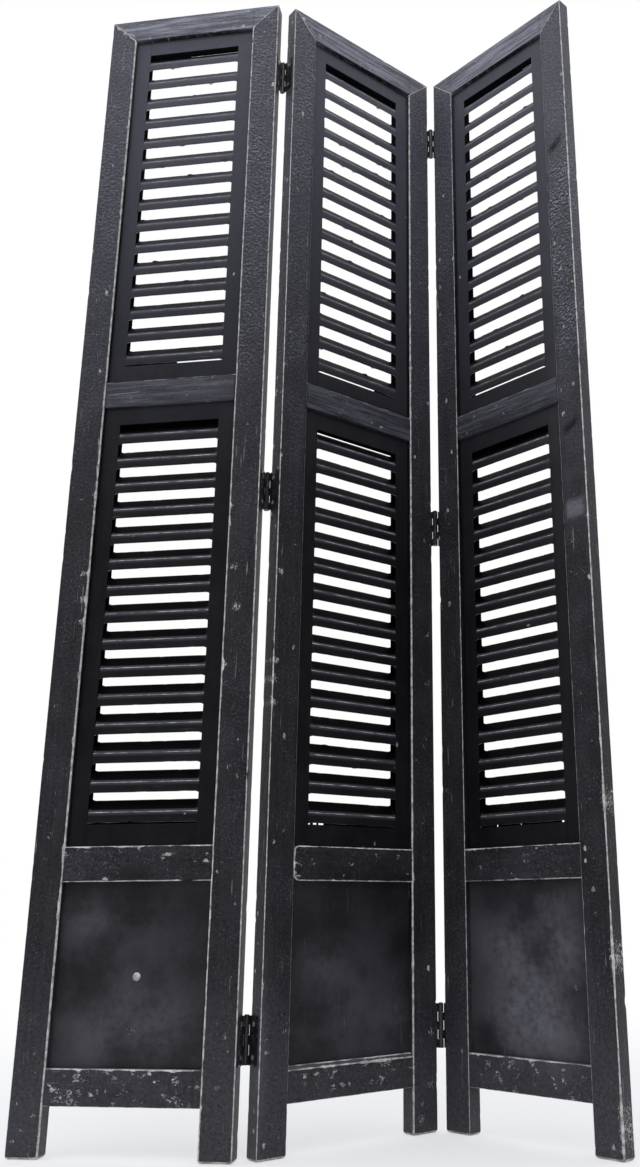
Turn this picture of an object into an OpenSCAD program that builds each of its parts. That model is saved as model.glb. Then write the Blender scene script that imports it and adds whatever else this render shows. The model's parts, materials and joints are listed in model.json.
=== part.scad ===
// Three-leaf folding screen with fixed louvres.
// Each leaf is a timber frame with two louvre inserts above a solid panel.
// The leaves are joined edge to edge by butt hinges and stand in a zigzag.
// A leaf is drawn flat in its own frame: x along its width, y from front to back, z up.

/* [Leaf] */
// Height of a leaf from the floor to its top
leaf_h = 1800; // [1600:10:2000]
// Width of a leaf over its two stiles
leaf_w = 300; // [260:5:400]
// Thickness of the stiles and rails
leaf_t = 24; // [22:1:32]
// Face width of a stile
stile_w = 45; // [40:1:55]
// Radius on the long edges of the stiles and rails
edge_r = 1.5; // [0.5:0.1:2.5]

/* [Rails] */
// Height of the feet below the bottom rail
foot_h = 62; // [40:1:90]
// Face height of the bottom rail
bottom_rail_h = 45; // [36:1:60]
// Face height of the rail between the solid panel and the lower louvres
lower_rail_h = 47; // [36:1:60]
// Face height of the rail between the two louvre inserts
mid_rail_h = 42; // [36:1:60]
// Face height of the mitred top rail
top_rail_h = 44; // [36:1:60]
// Length of the tenon at each end of a butted rail
tenon_l = 20; // [12:1:24]
// Thickness of a rail tenon
tenon_t = 8; // [6:1:10]
// Wood left between a tenon and the panel groove
tenon_wall = 2; // [1:0.5:4]

/* [Solid panel] */
// Clear height of the solid panel between its rails
panel_h = 232; // [150:1:300]
// Thickness of the solid panel
panel_t = 6; // [4:0.5:8]
// Depth of the panel face behind the leaf face
panel_setback = 9; // [6:0.5:12]
// Depth to which the panel sits in its grooves
groove_d = 8; // [5:0.5:10]

/* [Louvre inserts] */
// Thickness of an insert from front to back
insert_t = 14; // [11:0.5:15]
// Depth of the insert face behind the leaf face
insert_setback = 7; // [2:0.5:7]
// Face width of an insert jamb
jamb_w = 26; // [18:1:32]
// Face height of an insert border
border_h = 29.5; // [18:0.5:40]

/* [Slats] */
// Spacing that the slats come nearest to
slat_pitch = 41; // [36:0.5:50]
// Upright height of a slat's front face
slat_face = 15.5; // [13:0.5:17]
// Rise of a slat from its front to its back
slat_rise = 18; // [12:0.5:19]
// Clear height under the lowest slat of an insert
slat_sill = 2; // [1:0.5:6]
// Clear height over the highest slat of an insert
slat_head = 0.3; // [0.2:0.1:4]
// Radius on the two sharp edges of a slat
slat_edge_r = 1.2; // [0.6:0.1:1.6]
// Radius on the two blunt edges of a slat
slat_nose_r = 3; // [1:0.5:4]
// Length of the stub at each end of a slat
stub_l = 6; // [3:0.5:10]
// Width of a slat stub along the slope
stub_w = 10; // [6:0.5:11]
// Thickness of a slat stub
stub_t = 5; // [3:0.5:6]

/* [Hinges] */
// Height of a hinge
hinge_h = 60; // [50:1:80]
// Height of the lowest hinge's middle above the floor
hinge_low_z = 140; // [120:1:200]
// Depth of the highest hinge's middle below the leaf top
hinge_top_drop = 133; // [110:1:200]
// Outside diameter of a knuckle, which is also the gap between flat leaves
knuckle_d = 8; // [7:0.5:11]
// Number of knuckles on a hinge
knuckle_n = 5; // [3:2:7]
// End gap between two knuckles
knuckle_gap = 0.4; // [0.3:0.1:0.8]
// Diameter of a hinge pin
pin_d = 4; // [3:0.5:5]
// Height of a pin head
pin_head_h = 1.2; // [0.8:0.1:2]
// Thickness of a hinge plate
plate_t = 1.5; // [1:0.1:2]
// Width of a hinge plate on the stile edge
plate_w = 18; // [14:0.5:20]

/* [Screws] */
// Shank diameter of a hinge screw
screw_d = 3; // [2.5:0.1:3.5]
// Head diameter of a hinge screw
screw_head_d = 6; // [5:0.1:7]
// Length of a hinge screw with its head
screw_l = 16; // [12:0.5:20]
// Height of each hinge screw above or below the hinge's middle
screw_rise = 20; // [15:0.5:22]
// Width and depth of the cross slot in a screw head
screw_slot = 0.7; // [0.5:0.1:0.9]

/* [Clearances] */
// Gap around each tenon, stub, panel edge and screw
fit = 0.1; // [0.05:0.05:0.2]
// Radial running clearance of a hinge pin
pin_clear = 0.05; // [0.02:0.01:0.1]

/* [Fold] */
// Turn of the middle leaf from the front
centre_turn = 40; // [0:1:60]
// Fold of the left leaf away from flat, at its back edge
left_fold = 48; // [0:1:170]
// Fold of the right leaf away from flat, at its front edge
right_fold = 84; // [0:1:170]

/* [Hidden] */
// Steps in each rounded edge, and margin by which a cut runs past its face
arc_steps = 4;
over = 1;
$fn = 48;
paint_colour = "#2b2a30";
slat_colour = "#222127";
hinge_colour = "#1d1c20";
screw_colour = "#39383c";

// Heights of the rails and openings above the floor
bottom_rail_z = foot_h;
panel_z = bottom_rail_z + bottom_rail_h;
lower_rail_z = panel_z + panel_h;
lower_insert_z = lower_rail_z + lower_rail_h;
top_rail_z = leaf_h - top_rail_h;
insert_h = (top_rail_z - lower_insert_z - mid_rail_h) / 2;
mid_rail_z = lower_insert_z + insert_h;
upper_insert_z = mid_rail_z + mid_rail_h;

// Widths between the stiles and between the jambs
rail_w = leaf_w - 2 * stile_w;
slot_x = stile_w + jamb_w;
slot_w = rail_w - 2 * jamb_w;
slot_h = insert_h - 2 * border_h;
tenon_shoulder = groove_d + tenon_wall;

// Slope of a slat, lift of its rounded edges off the sharp corners, slat count and spacing
slat_tilt = atan(slat_rise / insert_t);
slat_lift = slat_edge_r * (1 / tan((90 - slat_tilt) / 2) - 1);
slat_travel = slot_h - slat_sill - slat_head - (slat_face + slat_rise - 2 * slat_lift);
slat_n = round(slat_travel / slat_pitch) + 1;
slat_step = slat_travel / (slat_n - 1);
slat_z = border_h + slat_sill - slat_lift;

// Hinge places and sizes
knuckle_r = knuckle_d / 2;
knuckle_step = hinge_h / knuckle_n;
pin_head_r = (pin_d / 2 + knuckle_r) / 2;
hinge_top_z = leaf_h - hinge_top_drop;
hinge_mid_z = (hinge_low_z + hinge_top_z) / 2;
screw_head_h = (screw_head_d - screw_d) / 2;

LEAVES = ["left", "centre", "right"];
SIDES = ["left", "right"];
LEVELS = ["low", "mid", "top"];
INSERTS = ["lower", "upper"];

// Plan of the leaves: each turns about a pin outside the face that it folds against
function turned(p, a) = [p.x * cos(a) - p.y * sin(a), p.x * sin(a) + p.y * cos(a)];
back_pin_y = leaf_t + knuckle_r;
front_pin_y = -knuckle_r;
left_turn = centre_turn - left_fold;
right_turn = centre_turn - right_fold;
left_pin = turned([-knuckle_r, back_pin_y], centre_turn);
right_pin = turned([leaf_w + knuckle_r, front_pin_y], centre_turn);
left_at = left_pin - turned([leaf_w + knuckle_r, back_pin_y], left_turn);
right_at = right_pin - turned([-knuckle_r, front_pin_y], right_turn);
function leaf_turn(leaf) = leaf == "left" ? left_turn : leaf == "right" ? right_turn : centre_turn;
function leaf_at(leaf) = leaf == "left" ? left_at : leaf == "right" ? right_at : [0, 0];

// The origin lies on the floor at the middle of the plan's box
arc_centres = [
    for (leaf = LEAVES, x = [edge_r, leaf_w - edge_r], y = [edge_r, leaf_t - edge_r])
        leaf_at(leaf) + turned([x, y], leaf_turn(leaf))
];
plan_x = [for (p = arc_centres) p.x];
plan_y = [for (p = arc_centres) p.y];
plan_middle = [(min(plan_x) + max(plan_x)) / 2, (min(plan_y) + max(plan_y)) / 2];

// Outline with each corner replaced by an arc of its own radius
function unit(v) = v / norm(v);
function corner_arc(a, p, b, r) =
    let (
        to_a = unit(a - p),
        to_b = unit(b - p),
        half = acos(to_a * to_b) / 2,
        middle = p + unit(to_a + to_b) * r / sin(half),
        start = p + to_a * r / tan(half) - middle,
        stop = p + to_b * r / tan(half) - middle,
        from = atan2(start.y, start.x),
        sweep = (atan2(stop.y, stop.x) - from + 540) % 360 - 180
    )
    [for (i = [0 : arc_steps]) middle + turned([r, 0], from + sweep * i / arc_steps)];
function rounded(points, radii) =
    let (n = len(points))
    [for (i = [0 : n - 1]) each corner_arc(points[(i + n - 1) % n], points[i], points[(i + 1) % n], radii[i])];
function rounded_box(w, h, r) = rounded([[0, 0], [w, 0], [w, h], [0, h]], [r, r, r, r]);

// Places its children on a leaf
module on_leaf(leaf) {
    at = leaf_at(leaf) - plan_middle;
    translate([at.x, at.y, 0]) rotate(leaf_turn(leaf)) children();
}

// Places its children at a hinge, with a leaf towards +x and the faces of that leaf towards -y
module at_hinge(side, level, leaf) {
    pin = (side == "left" ? left_pin : right_pin) - plan_middle;
    z = level == "low" ? hinge_low_z : level == "mid" ? hinge_mid_z : hinge_top_z;
    translate([pin.x, pin.y, z - hinge_h / 2])
        rotate(leaf_turn(leaf) + (side == "left" ? 0 : 180))
            mirror([leaf == "centre" ? 0 : 1, 0, 0])
                children();
}

// Extrudes an outline drawn in y and z along x
module along_width(l) {
    rotate([90, 0, 90]) linear_extrude(l) children();
}

// Space of the top rail between its two mitre planes, cut right through the leaf
module mitre_prism() {
    translate([0, leaf_t + over, 0]) rotate([90, 0, 0]) linear_extrude(leaf_t + 2 * over)
        polygon([[0, leaf_h], [stile_w, top_rail_z], [leaf_w - stile_w, top_rail_z], [leaf_w, leaf_h]]);
}

// Tenon bar of a rail, through to the tips of both tenons
module tenon_bar(z, h, gap) {
    translate([
        stile_w - tenon_l - gap,
        (leaf_t - tenon_t) / 2 - gap,
        z + tenon_shoulder - gap
    ])
        cube([rail_w + 2 * (tenon_l + gap), tenon_t + 2 * gap, h - 2 * (tenon_shoulder - gap)]);
}

// Space of the solid panel in its grooves
module panel_bar(gap) {
    translate([stile_w - groove_d - gap, panel_setback - gap, panel_z - groove_d - gap])
        cube([
            rail_w + 2 * (groove_d + gap),
            panel_t + 2 * gap,
            panel_h + 2 * (groove_d + gap)
        ]);
}

// Screws of one hinge plate, in the hinge's place
module at_plate_screws() {
    for (way = [-1, 1])
        translate([
            knuckle_r - plate_t,
            -knuckle_r - plate_w / 2,
            hinge_h / 2 + way * screw_rise
        ])
            rotate([0, 90, 0]) children();
}

// Shank and countersunk head of a screw, grown all round by a gap
module screw_body(gap) {
    tip_h = screw_d;
    cylinder(h = screw_head_h, d1 = screw_head_d + 2 * gap, d2 = screw_d + 2 * gap);
    translate([0, 0, screw_head_h - gap])
        cylinder(h = screw_l - screw_head_h - tip_h + gap, d = screw_d + 2 * gap);
    translate([0, 0, screw_l - tip_h])
        cylinder(h = tip_h + gap, d1 = screw_d + 2 * gap, d2 = screw_d / 3 + 2 * gap);
}

// Hinge joints that a leaf carries
function leaf_joints(leaf) = leaf == "centre" ? SIDES : [leaf];

// Bores for all the hinge screws of one leaf, in the part's own frame
module screw_bores(leaf) {
    for (side = leaf_joints(leaf), level = LEVELS)
        at_hinge(side, level, leaf) at_plate_screws() screw_body(fit);
}

module stile(leaf, side) {
    x = side == "left" ? 0 : leaf_w - stile_w;
    color(paint_colour) difference() {
        on_leaf(leaf) difference() {
            translate([x, 0, 0]) linear_extrude(leaf_h)
                polygon(rounded_box(stile_w, leaf_t, edge_r));
            mitre_prism();
            tenon_bar(bottom_rail_z, bottom_rail_h, fit);
            tenon_bar(lower_rail_z, lower_rail_h, fit);
            tenon_bar(mid_rail_z, mid_rail_h, fit);
            panel_bar(fit);
        }
        screw_bores(leaf);
    }
}

module top_rail(leaf) {
    color(paint_colour) on_leaf(leaf) intersection() {
        translate([0, 0, top_rail_z]) along_width(leaf_w)
            polygon(rounded_box(leaf_t, top_rail_h, edge_r));
        mitre_prism();
    }
}

// Rail butted between the stiles, with a groove where the solid panel meets it
module butted_rail(leaf, z, h) {
    color(paint_colour) on_leaf(leaf) {
        difference() {
            translate([stile_w, 0, z]) along_width(rail_w)
                polygon(rounded_box(leaf_t, h, edge_r));
            panel_bar(fit);
        }
        tenon_bar(z, h, 0);
    }
}

module mid_rail(leaf) {
    butted_rail(leaf, mid_rail_z, mid_rail_h);
}

module lower_rail(leaf) {
    butted_rail(leaf, lower_rail_z, lower_rail_h);
}

module bottom_rail(leaf) {
    butted_rail(leaf, bottom_rail_z, bottom_rail_h);
}

module solid_panel(leaf) {
    color(paint_colour) on_leaf(leaf) panel_bar(0);
}

function insert_z(insert) = insert == "lower" ? lower_insert_z : upper_insert_z;

// Places its children at each slat of an insert
module at_slats(insert) {
    for (i = [0 : slat_n - 1])
        translate([slot_x, insert_setback, insert_z(insert) + slat_z + i * slat_step]) children();
}

// Stub bar of a slat, through to the tips of both stubs
module stub_bar(gap) {
    translate([-stub_l - gap, insert_t / 2, (slat_face + slat_rise) / 2]) rotate([slat_tilt, 0, 0])
        translate([0, -stub_w / 2 - gap, -stub_t / 2 - gap])
            cube([slot_w + 2 * (stub_l + gap), stub_w + 2 * gap, stub_t + 2 * gap]);
}

module jambs(leaf, insert) {
    color(paint_colour) on_leaf(leaf) difference() {
        for (x = [stile_w, leaf_w - slot_x])
            translate([x, insert_setback, insert_z(insert)]) cube([jamb_w, insert_t, insert_h]);
        at_slats(insert) stub_bar(fit);
    }
}

module borders(leaf, insert) {
    color(paint_colour) on_leaf(leaf)
        for (z = [0, insert_h - border_h])
            translate([slot_x, insert_setback, insert_z(insert) + z]) cube([slot_w, insert_t, border_h]);
}

module slats(leaf, insert) {
    outline = [[0, 0], [insert_t, slat_rise], [insert_t, slat_rise + slat_face], [0, slat_face]];
    radii = [slat_edge_r, slat_nose_r, slat_edge_r, slat_nose_r];
    color(slat_colour) on_leaf(leaf) at_slats(insert) {
        along_width(slot_w) polygon(rounded(outline, radii));
        stub_bar(0);
    }
}

// Plate with every second knuckle, starting from the given one, in the hinge's place
module hinge_plate(first) {
    color(hinge_colour) difference() {
        union() {
            translate([knuckle_r - plate_t, -knuckle_r - plate_w, 0]) cube([plate_t, plate_w, hinge_h]);
            for (i = [first : 2 : knuckle_n - 1])
                translate([0, 0, i * knuckle_step + knuckle_gap / 2]) {
                    cylinder(h = knuckle_step - knuckle_gap, r = knuckle_r);
                    translate([knuckle_r - plate_t, -knuckle_r - over, 0])
                        cube([plate_t, knuckle_r + over, knuckle_step - knuckle_gap]);
                }
        }
        translate([0, 0, -over]) cylinder(h = hinge_h + 2 * over, r = pin_d / 2 + pin_clear);
        at_plate_screws() screw_body(fit);
    }
}

module inner_plate(side, level) {
    at_hinge(side, level, "centre") hinge_plate(0);
}

module outer_plate(side, level) {
    at_hinge(side, level, side) hinge_plate(1);
}

module hinge_pin(side, level) {
    head_z = hinge_h - knuckle_gap / 2;
    color(hinge_colour) at_hinge(side, level, "centre") {
        translate([0, 0, knuckle_gap / 2]) cylinder(h = hinge_h - knuckle_gap, d = pin_d);
        translate([0, 0, head_z]) cylinder(h = pin_head_h, r = pin_head_r);
    }
}

module hinge_screws(leaf) {
    slot_l = screw_head_d * 0.6;
    color(screw_colour)
        for (side = leaf_joints(leaf), level = LEVELS)
            at_hinge(side, level, leaf) at_plate_screws() difference() {
                screw_body(0);
                for (a = [0, 90])
                    rotate(a) translate([-slot_l / 2, -screw_slot / 2, -over])
                        cube([slot_l, screw_slot, over + screw_slot]);
            }
}

for (leaf = LEAVES) {
    for (side = SIDES)
        stile(leaf, side);
    top_rail(leaf);
    mid_rail(leaf);
    lower_rail(leaf);
    bottom_rail(leaf);
    solid_panel(leaf);
    for (insert = INSERTS) {
        jambs(leaf, insert);
        borders(leaf, insert);
        slats(leaf, insert);
    }
    hinge_screws(leaf);
}
for (side = SIDES, level = LEVELS) {
    inner_plate(side, level);
    outer_plate(side, level);
    hinge_pin(side, level);
}
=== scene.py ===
"""Dress the louvred folding screen: three timber leaves in worn black paint, joined by iron butt hinges."""

import json
import logging
import math
from collections.abc import Sequence
from dataclasses import dataclass, field, replace
from enum import Enum

import bpy
import numpy as np
from mathutils import Matrix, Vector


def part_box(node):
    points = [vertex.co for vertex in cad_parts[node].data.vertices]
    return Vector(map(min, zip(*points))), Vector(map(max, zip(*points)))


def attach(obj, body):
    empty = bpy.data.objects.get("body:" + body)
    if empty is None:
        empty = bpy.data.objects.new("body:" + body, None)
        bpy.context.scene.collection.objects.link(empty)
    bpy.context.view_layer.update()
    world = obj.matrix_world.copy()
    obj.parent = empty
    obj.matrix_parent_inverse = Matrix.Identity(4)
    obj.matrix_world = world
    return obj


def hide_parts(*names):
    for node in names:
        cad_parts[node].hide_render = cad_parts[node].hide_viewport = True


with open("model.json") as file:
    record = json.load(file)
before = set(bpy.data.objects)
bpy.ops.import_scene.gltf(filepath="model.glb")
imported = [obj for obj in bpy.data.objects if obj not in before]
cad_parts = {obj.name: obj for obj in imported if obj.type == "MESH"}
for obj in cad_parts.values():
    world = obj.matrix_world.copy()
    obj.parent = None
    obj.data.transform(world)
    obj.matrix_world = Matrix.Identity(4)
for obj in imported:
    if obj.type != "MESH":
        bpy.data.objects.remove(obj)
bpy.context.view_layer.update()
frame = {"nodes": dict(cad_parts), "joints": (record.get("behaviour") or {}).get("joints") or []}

LOG = logging.getLogger("screen")
Colour = tuple[float, float, float, float]
Corners = tuple[float, float, float, float]
Stretch = tuple[float, float]
Socket = bpy.types.NodeSocket
Material = bpy.types.Material
Paints = dict[str, Material]


class LeafName(Enum):
    """The three leaves, from left to right."""

    LEFT = "left"
    CENTRE = "centre"
    RIGHT = "right"


class Run(Enum):
    """Which way a board, and so its grain, runs on its leaf."""

    UP = "up"
    ACROSS = "across"


class Level(Enum):
    """The two louvred inserts of a leaf."""

    LOWER = "lower"
    UPPER = "upper"


class RailName(Enum):
    """The four rails of a leaf, from the floor up."""

    BOTTOM = "bottom"
    LOWER = "lower"
    MID = "mid"
    TOP = "top"


class Coat(Enum):
    """Which sides of a board take its second finish, a darker paint that stands for the shade on them."""

    NONE = "none"
    LEFT_SIDE = "left side"
    RIGHT_SIDE = "right side"
    UNDERSIDE = "underside"
    SLOPE = "slope"
    WHOLE = "whole"


class MarkKind(Enum):
    """A chip bares pale undercoat, a bloom is haze, a stain is blacker: real stains, and painted shade in
    cracks and gashes; pebbles are wrinkled paint.
    """

    CHIP = "chip"
    BLOOM = "bloom"
    STAIN_AND_SHADE = "stain_and_shade"
    PEBBLE = "pebble"


@dataclass(frozen=True)
class Mark:
    """A mark on the front of a leaf, placed by the leaf's own width and height in metres."""

    kind: MarkKind
    x: float
    z: float
    size: float
    tall: float = 1.0
    strength: float = 1.0
    squareness: float = 2.0

    def over(self, points: np.ndarray) -> np.ndarray:
        """Give the mark's strength at each point.

        The strength falls off as a bell with the distance from the mark's middle, counted in its own sizes. A
        high squareness is the power that makes the bell a box with short slopes.

        Args:
            points: Places on the leaf, one row each.

        Returns:
            One strength for each place.
        """
        across = (points[:, 0] - self.x) / self.size
        up = (points[:, 2] - self.z) / (self.size * self.tall)
        return self.strength * np.exp(-(np.abs(across) ** self.squareness + np.abs(up) ** self.squareness))


@dataclass(frozen=True)
class Placement:
    """Where a leaf stands: its turn about the upright axis and its front left foot."""

    turn: float
    origin: np.ndarray

    def apply(self, points: np.ndarray) -> np.ndarray:
        """Turn points of the leaf about the upright axis, then carry them to the leaf's foot."""
        cos, sin = math.cos(self.turn), math.sin(self.turn)
        turned = points @ np.array([[cos, sin, 0.0], [-sin, cos, 0.0], [0.0, 0.0, 1.0]])
        return turned + self.origin


RIPPLE_HEIGHTS = 512


def ripple(at: np.ndarray, period: float, seed: int) -> np.ndarray:
    """Give a smooth random wave between -1 and 1.

    Random heights stand one period apart, and a smooth step joins each to the next.

    Args:
        at: Distances along the wave.
        period: Distance between two random heights.
        seed: Seed of the heights.

    Returns:
        The wave's height at each distance.
    """
    heights = np.random.default_rng(seed).uniform(-1.0, 1.0, RIPPLE_HEIGHTS)
    place = at / period
    low = np.floor(place).astype(int)
    share = place - low
    ease = share * share * (3.0 - 2.0 * share)
    before, after = heights[low % RIPPLE_HEIGHTS], heights[(low + 1) % RIPPLE_HEIGHTS]
    return before * (1.0 - ease) + after * ease


@dataclass(frozen=True)
class Ring:
    """A closed outline walked anticlockwise, with each point's way out and its nearest corner."""

    points: np.ndarray
    outward: np.ndarray
    arris: np.ndarray
    corner: np.ndarray


def rounded_outline(
    corners: Sequence[tuple[float, float]], radii: Sequence[float], spacing: float, arc_steps: int = 5
) -> Ring:
    """Round the corners of a polygon and walk round it.

    Each corner becomes an arc that touches both of its sides, and each side gets points whose spacing
    follows a cosine, so that they crowd next to the arcs.

    Args:
        corners: Sharp corners, anticlockwise.
        radii: Radius of each corner.
        spacing: Mean distance between points on a side.
        arc_steps: Number of steps in each arc.

    Returns:
        The outline, with each point's distance along it from the middle of the nearest arc.
    """
    sharp = np.asarray(corners, float)
    count = len(sharp)
    back = np.roll(sharp, 1, axis=0) - sharp
    ahead = np.roll(sharp, -1, axis=0) - sharp
    back /= np.linalg.norm(back, axis=1, keepdims=True)
    ahead /= np.linalg.norm(ahead, axis=1, keepdims=True)
    opening = np.arccos(np.clip((back * ahead).sum(1), -1.0, 1.0))
    radius = np.asarray(radii, float)
    middle = back + ahead
    middle /= np.linalg.norm(middle, axis=1, keepdims=True)
    centre = sharp + middle * (radius / np.sin(opening / 2.0))[:, None]
    touch = sharp + back * (radius / np.tan(opening / 2.0))[:, None]
    first = np.arctan2(touch[:, 1] - centre[:, 1], touch[:, 0] - centre[:, 0])
    angle = first[:, None] + (math.pi - opening)[:, None] * np.linspace(0.0, 1.0, arc_steps + 1)
    arcs = centre[:, None] + radius[:, None, None] * np.stack([np.cos(angle), np.sin(angle)], axis=-1)
    walk, arc_middles, at = [], [], 0
    for index in range(count):
        start, stop = arcs[index, -1], arcs[(index + 1) % count, 0]
        steps = max(2, round(float(np.linalg.norm(stop - start)) / spacing))
        share = (1.0 - np.cos(np.linspace(0.0, math.pi, steps + 1)[1:-1])) / 2.0
        walk += [arcs[index], start + (stop - start) * share[:, None]]
        arc_middles.append(at + arc_steps / 2.0)
        at += arc_steps + 1 + len(share)
    points = np.concatenate(walk)
    edge = np.linalg.norm(np.roll(points, -1, axis=0) - points, axis=1)
    along = np.concatenate([[0.0], np.cumsum(edge)])
    arris_at = np.interp(arc_middles, np.arange(len(along)), along)
    gap = np.abs(along[:-1, None] - arris_at)
    gap = np.minimum(gap, along[-1] - gap)
    tangent = np.roll(points, -1, axis=0) - np.roll(points, 1, axis=0)
    outward = np.stack([tangent[:, 1], -tangent[:, 0]], axis=1)
    outward /= np.linalg.norm(outward, axis=1, keepdims=True)
    return Ring(points, outward, gap.min(axis=1), gap.argmin(axis=1))


def rectangle(low: tuple[float, float], high: tuple[float, float], radius: float, spacing: float) -> Ring:
    """Give a rounded rectangle between two corners."""
    corners = [low, (high[0], low[1]), high, (low[0], high[1])]
    return rounded_outline(corners, [radius] * 4, spacing)


@dataclass(frozen=True)
class EdgeWear:
    """How knocked a board's arrises are, and how many crumbs of paint stand out of them."""

    nicks_per_metre: float = 12.0
    depth: float = 0.0003
    bow: float = 0.0001
    crumbs_per_metre: float = 0.0
    rubbed: tuple[float, ...] = (1.0, 1.0, 1.0, 1.0)
    nick_widths: Stretch = (0.0015, 0.006)
    deepest_nick: float = 5.0
    crumb_heights: Stretch = (0.3, 1.0)
    crumb: float = 0.0026
    crumb_width: float = 0.0028
    fade: float = 0.0022


PLAIN_WEAR = EdgeWear(8.0, 0.0002, rubbed=(0.0, 0.0, 0.0, 0.0))
UNWORN = EdgeWear(1.0, 0.0, 0.0)


@dataclass(frozen=True)
class Surface:
    """A closed tube of points, ring after ring.

    Each point has its distance from the nearest arris and its ledge share: how far it faces up, where dust
    lies, or a bell about a slat's nose, where dust and a painted highlight lie. Each strip along the tube may
    have a second coat.
    """

    points: np.ndarray
    arris: np.ndarray
    ledge: np.ndarray
    second_coat: np.ndarray


END_RINGS = 5
BOW_PERIODS = (0.33, 0.27)
BOW_SEED = 7
NOSE_DUST_AND_HIGHLIGHT = 0.0046


@dataclass(frozen=True)
class Bar:
    """A board: an outline carried along one axis of its leaf, with rounded ends and knocked arrises."""

    ring: Ring
    run: Run
    start: np.ndarray | float
    stop: np.ndarray | float
    step: float
    seed: int
    rounds: tuple[float, float] = (0.0008, 0.0008)
    worn_ends: tuple[bool, bool] = (False, False)
    wear: EdgeWear = EdgeWear()
    flare: float = 0.0
    start_corner: float = 0.0
    dust_and_highlight_corner: int | None = None
    coat: Coat = Coat.NONE

    def stations(self, length: float) -> tuple[np.ndarray, np.ndarray]:
        """Place the rings along the board.

        Both ends are quarter rounds: there a ring stands a versed sine from the end and shrinks by one less
        sine.

        Args:
            length: The board's mean length.

        Returns:
            Each ring's distance from the start, and how far its outline is drawn in.
        """
        turn = np.linspace(0.0, math.pi / 2.0, END_RINGS)
        head, tail = self.rounds
        rings = max(3, round((length - head - tail) / self.step))
        middle = np.linspace(head, length - tail, rings + 1)[1:-1]
        first, last = head * (1.0 - np.cos(turn)), length - tail * (1.0 - np.cos(turn[::-1]))
        drawn = [head * (1.0 - np.sin(turn)), np.zeros(len(middle)), tail * (1.0 - np.sin(turn[::-1]))]
        return np.concatenate([first, middle, last]), np.concatenate(drawn)

    def knocks(self, along: np.ndarray, length: float) -> np.ndarray:
        """Work out how far the arrises are knocked in, or stand out where crumbs of paint sit on them.

        Each corner has random nicks: bells along the board whose depths follow an exponential law. They fade
        as a bell with the distance from the arris. Crumbs are bells that stand out in the same way.

        Args:
            along: Distance of each ring from the start.
            length: The board's length.

        Returns:
            The move along the way out for each ring and each outline point.
        """
        dice, wear = np.random.default_rng(self.seed), self.wear
        moved = np.zeros((len(along), len(self.ring.arris)))
        fade = np.exp(-((self.ring.arris / wear.fade) ** 2))
        for corner in range(int(self.ring.corner.max()) + 1):
            count = max(1, int(wear.nicks_per_metre * length))
            middles = dice.uniform(0.0, length, count)
            widths = dice.uniform(*wear.nick_widths, count)
            depths = np.minimum(dice.exponential(wear.depth, count), wear.deepest_nick * wear.depth)
            bells = depths * np.exp(-(((along[:, None] - middles) / widths) ** 2))
            crumbs = dice.poisson(wear.crumbs_per_metre * length)
            places = dice.uniform(0.0, length, crumbs)
            heights = dice.uniform(*wear.crumb_heights, crumbs) * wear.crumb
            lumps = heights * np.exp(-(((along[:, None] - places) / wear.crumb_width) ** 2))
            raised = lumps.sum(axis=1) - bells.sum(axis=1)
            moved += raised[:, None] * fade * (self.ring.corner == corner)
        return moved

    def flares(self, along: np.ndarray, length: float) -> np.ndarray:
        """Work out how far the board grows up and down next to its ends: a quarter round at each."""
        if not self.flare:
            return np.zeros(len(along))
        near = np.clip(np.minimum(along, length - along) / self.flare, 0.0, 1.0)
        return self.flare * (1.0 - np.sqrt(1.0 - (1.0 - near) ** 2))

    def corners_lost(self, along: np.ndarray, half: float) -> np.ndarray:
        """Work out the share of half its height that the front loses to round corners at its start."""
        if not self.start_corner:
            return np.zeros((len(along), len(self.ring.points)))
        near = np.clip(along / self.start_corner, 0.0, 1.0)
        lost = self.start_corner * (1.0 - np.sqrt(1.0 - (1.0 - near) ** 2))
        depth = self.ring.points[:, 0]
        return lost[:, None] / half * (depth.max() - depth) / np.ptp(depth)

    def surface(self) -> Surface:
        """Carry the outline along the board.

        A point is its outline point, drawn in towards the middle at the ends, knocked along its way out and
        bowed by a slow ripple. Its place along the board is a share of the way from its start to its stop.

        Returns:
            The board's closed surface.
        """
        start = np.broadcast_to(self.start, len(self.ring.points))
        stop = np.broadcast_to(self.stop, len(self.ring.points))
        length = float(np.mean(stop - start))
        along, drawn = self.stations(length)
        low, high = self.ring.points.min(0), self.ring.points.max(0)
        middle, half = (low + high) / 2.0, (high - low) / 2.0
        shrink = np.repeat(1.0 - drawn[:, None, None] / half, len(start), axis=1)
        shrink[..., 1] -= self.corners_lost(along, float(half[1]))
        outline = middle + (self.ring.points - middle) * shrink
        moved = self.knocks(along, length) - self.wear.bow
        outline = outline + self.ring.outward * moved[:, :, None]
        outline[..., 1] += self.flares(along, length)[:, None] * np.round(self.ring.outward[:, 1])
        first = self.seed + BOW_SEED
        waves = [ripple(along, period, first + axis) for axis, period in enumerate(BOW_PERIODS)]
        outline = outline + self.wear.bow * np.stack(waves, axis=1)[:, None, :]
        place = start + (stop - start) * (along / length)[:, None]
        columns = [outline[..., 0], outline[..., 1]]
        columns.insert(2 if self.run is Run.UP else 0, place)
        gain = np.asarray(self.wear.rubbed)[self.ring.corner]
        arris = np.broadcast_to(self.ring.arris / np.maximum(gain, 0.01), place.shape)
        for end, worn in enumerate(self.worn_ends):
            if worn:
                reach = along if end == 0 else length - along
                arris = np.minimum(arris, np.maximum(reach - 0.5 * self.rounds[end], 0.0)[:, None])
        ledge = np.broadcast_to(self.ledges(), place.shape)
        return Surface(np.stack(columns, axis=-1), arris, ledge, self.coated())

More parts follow.
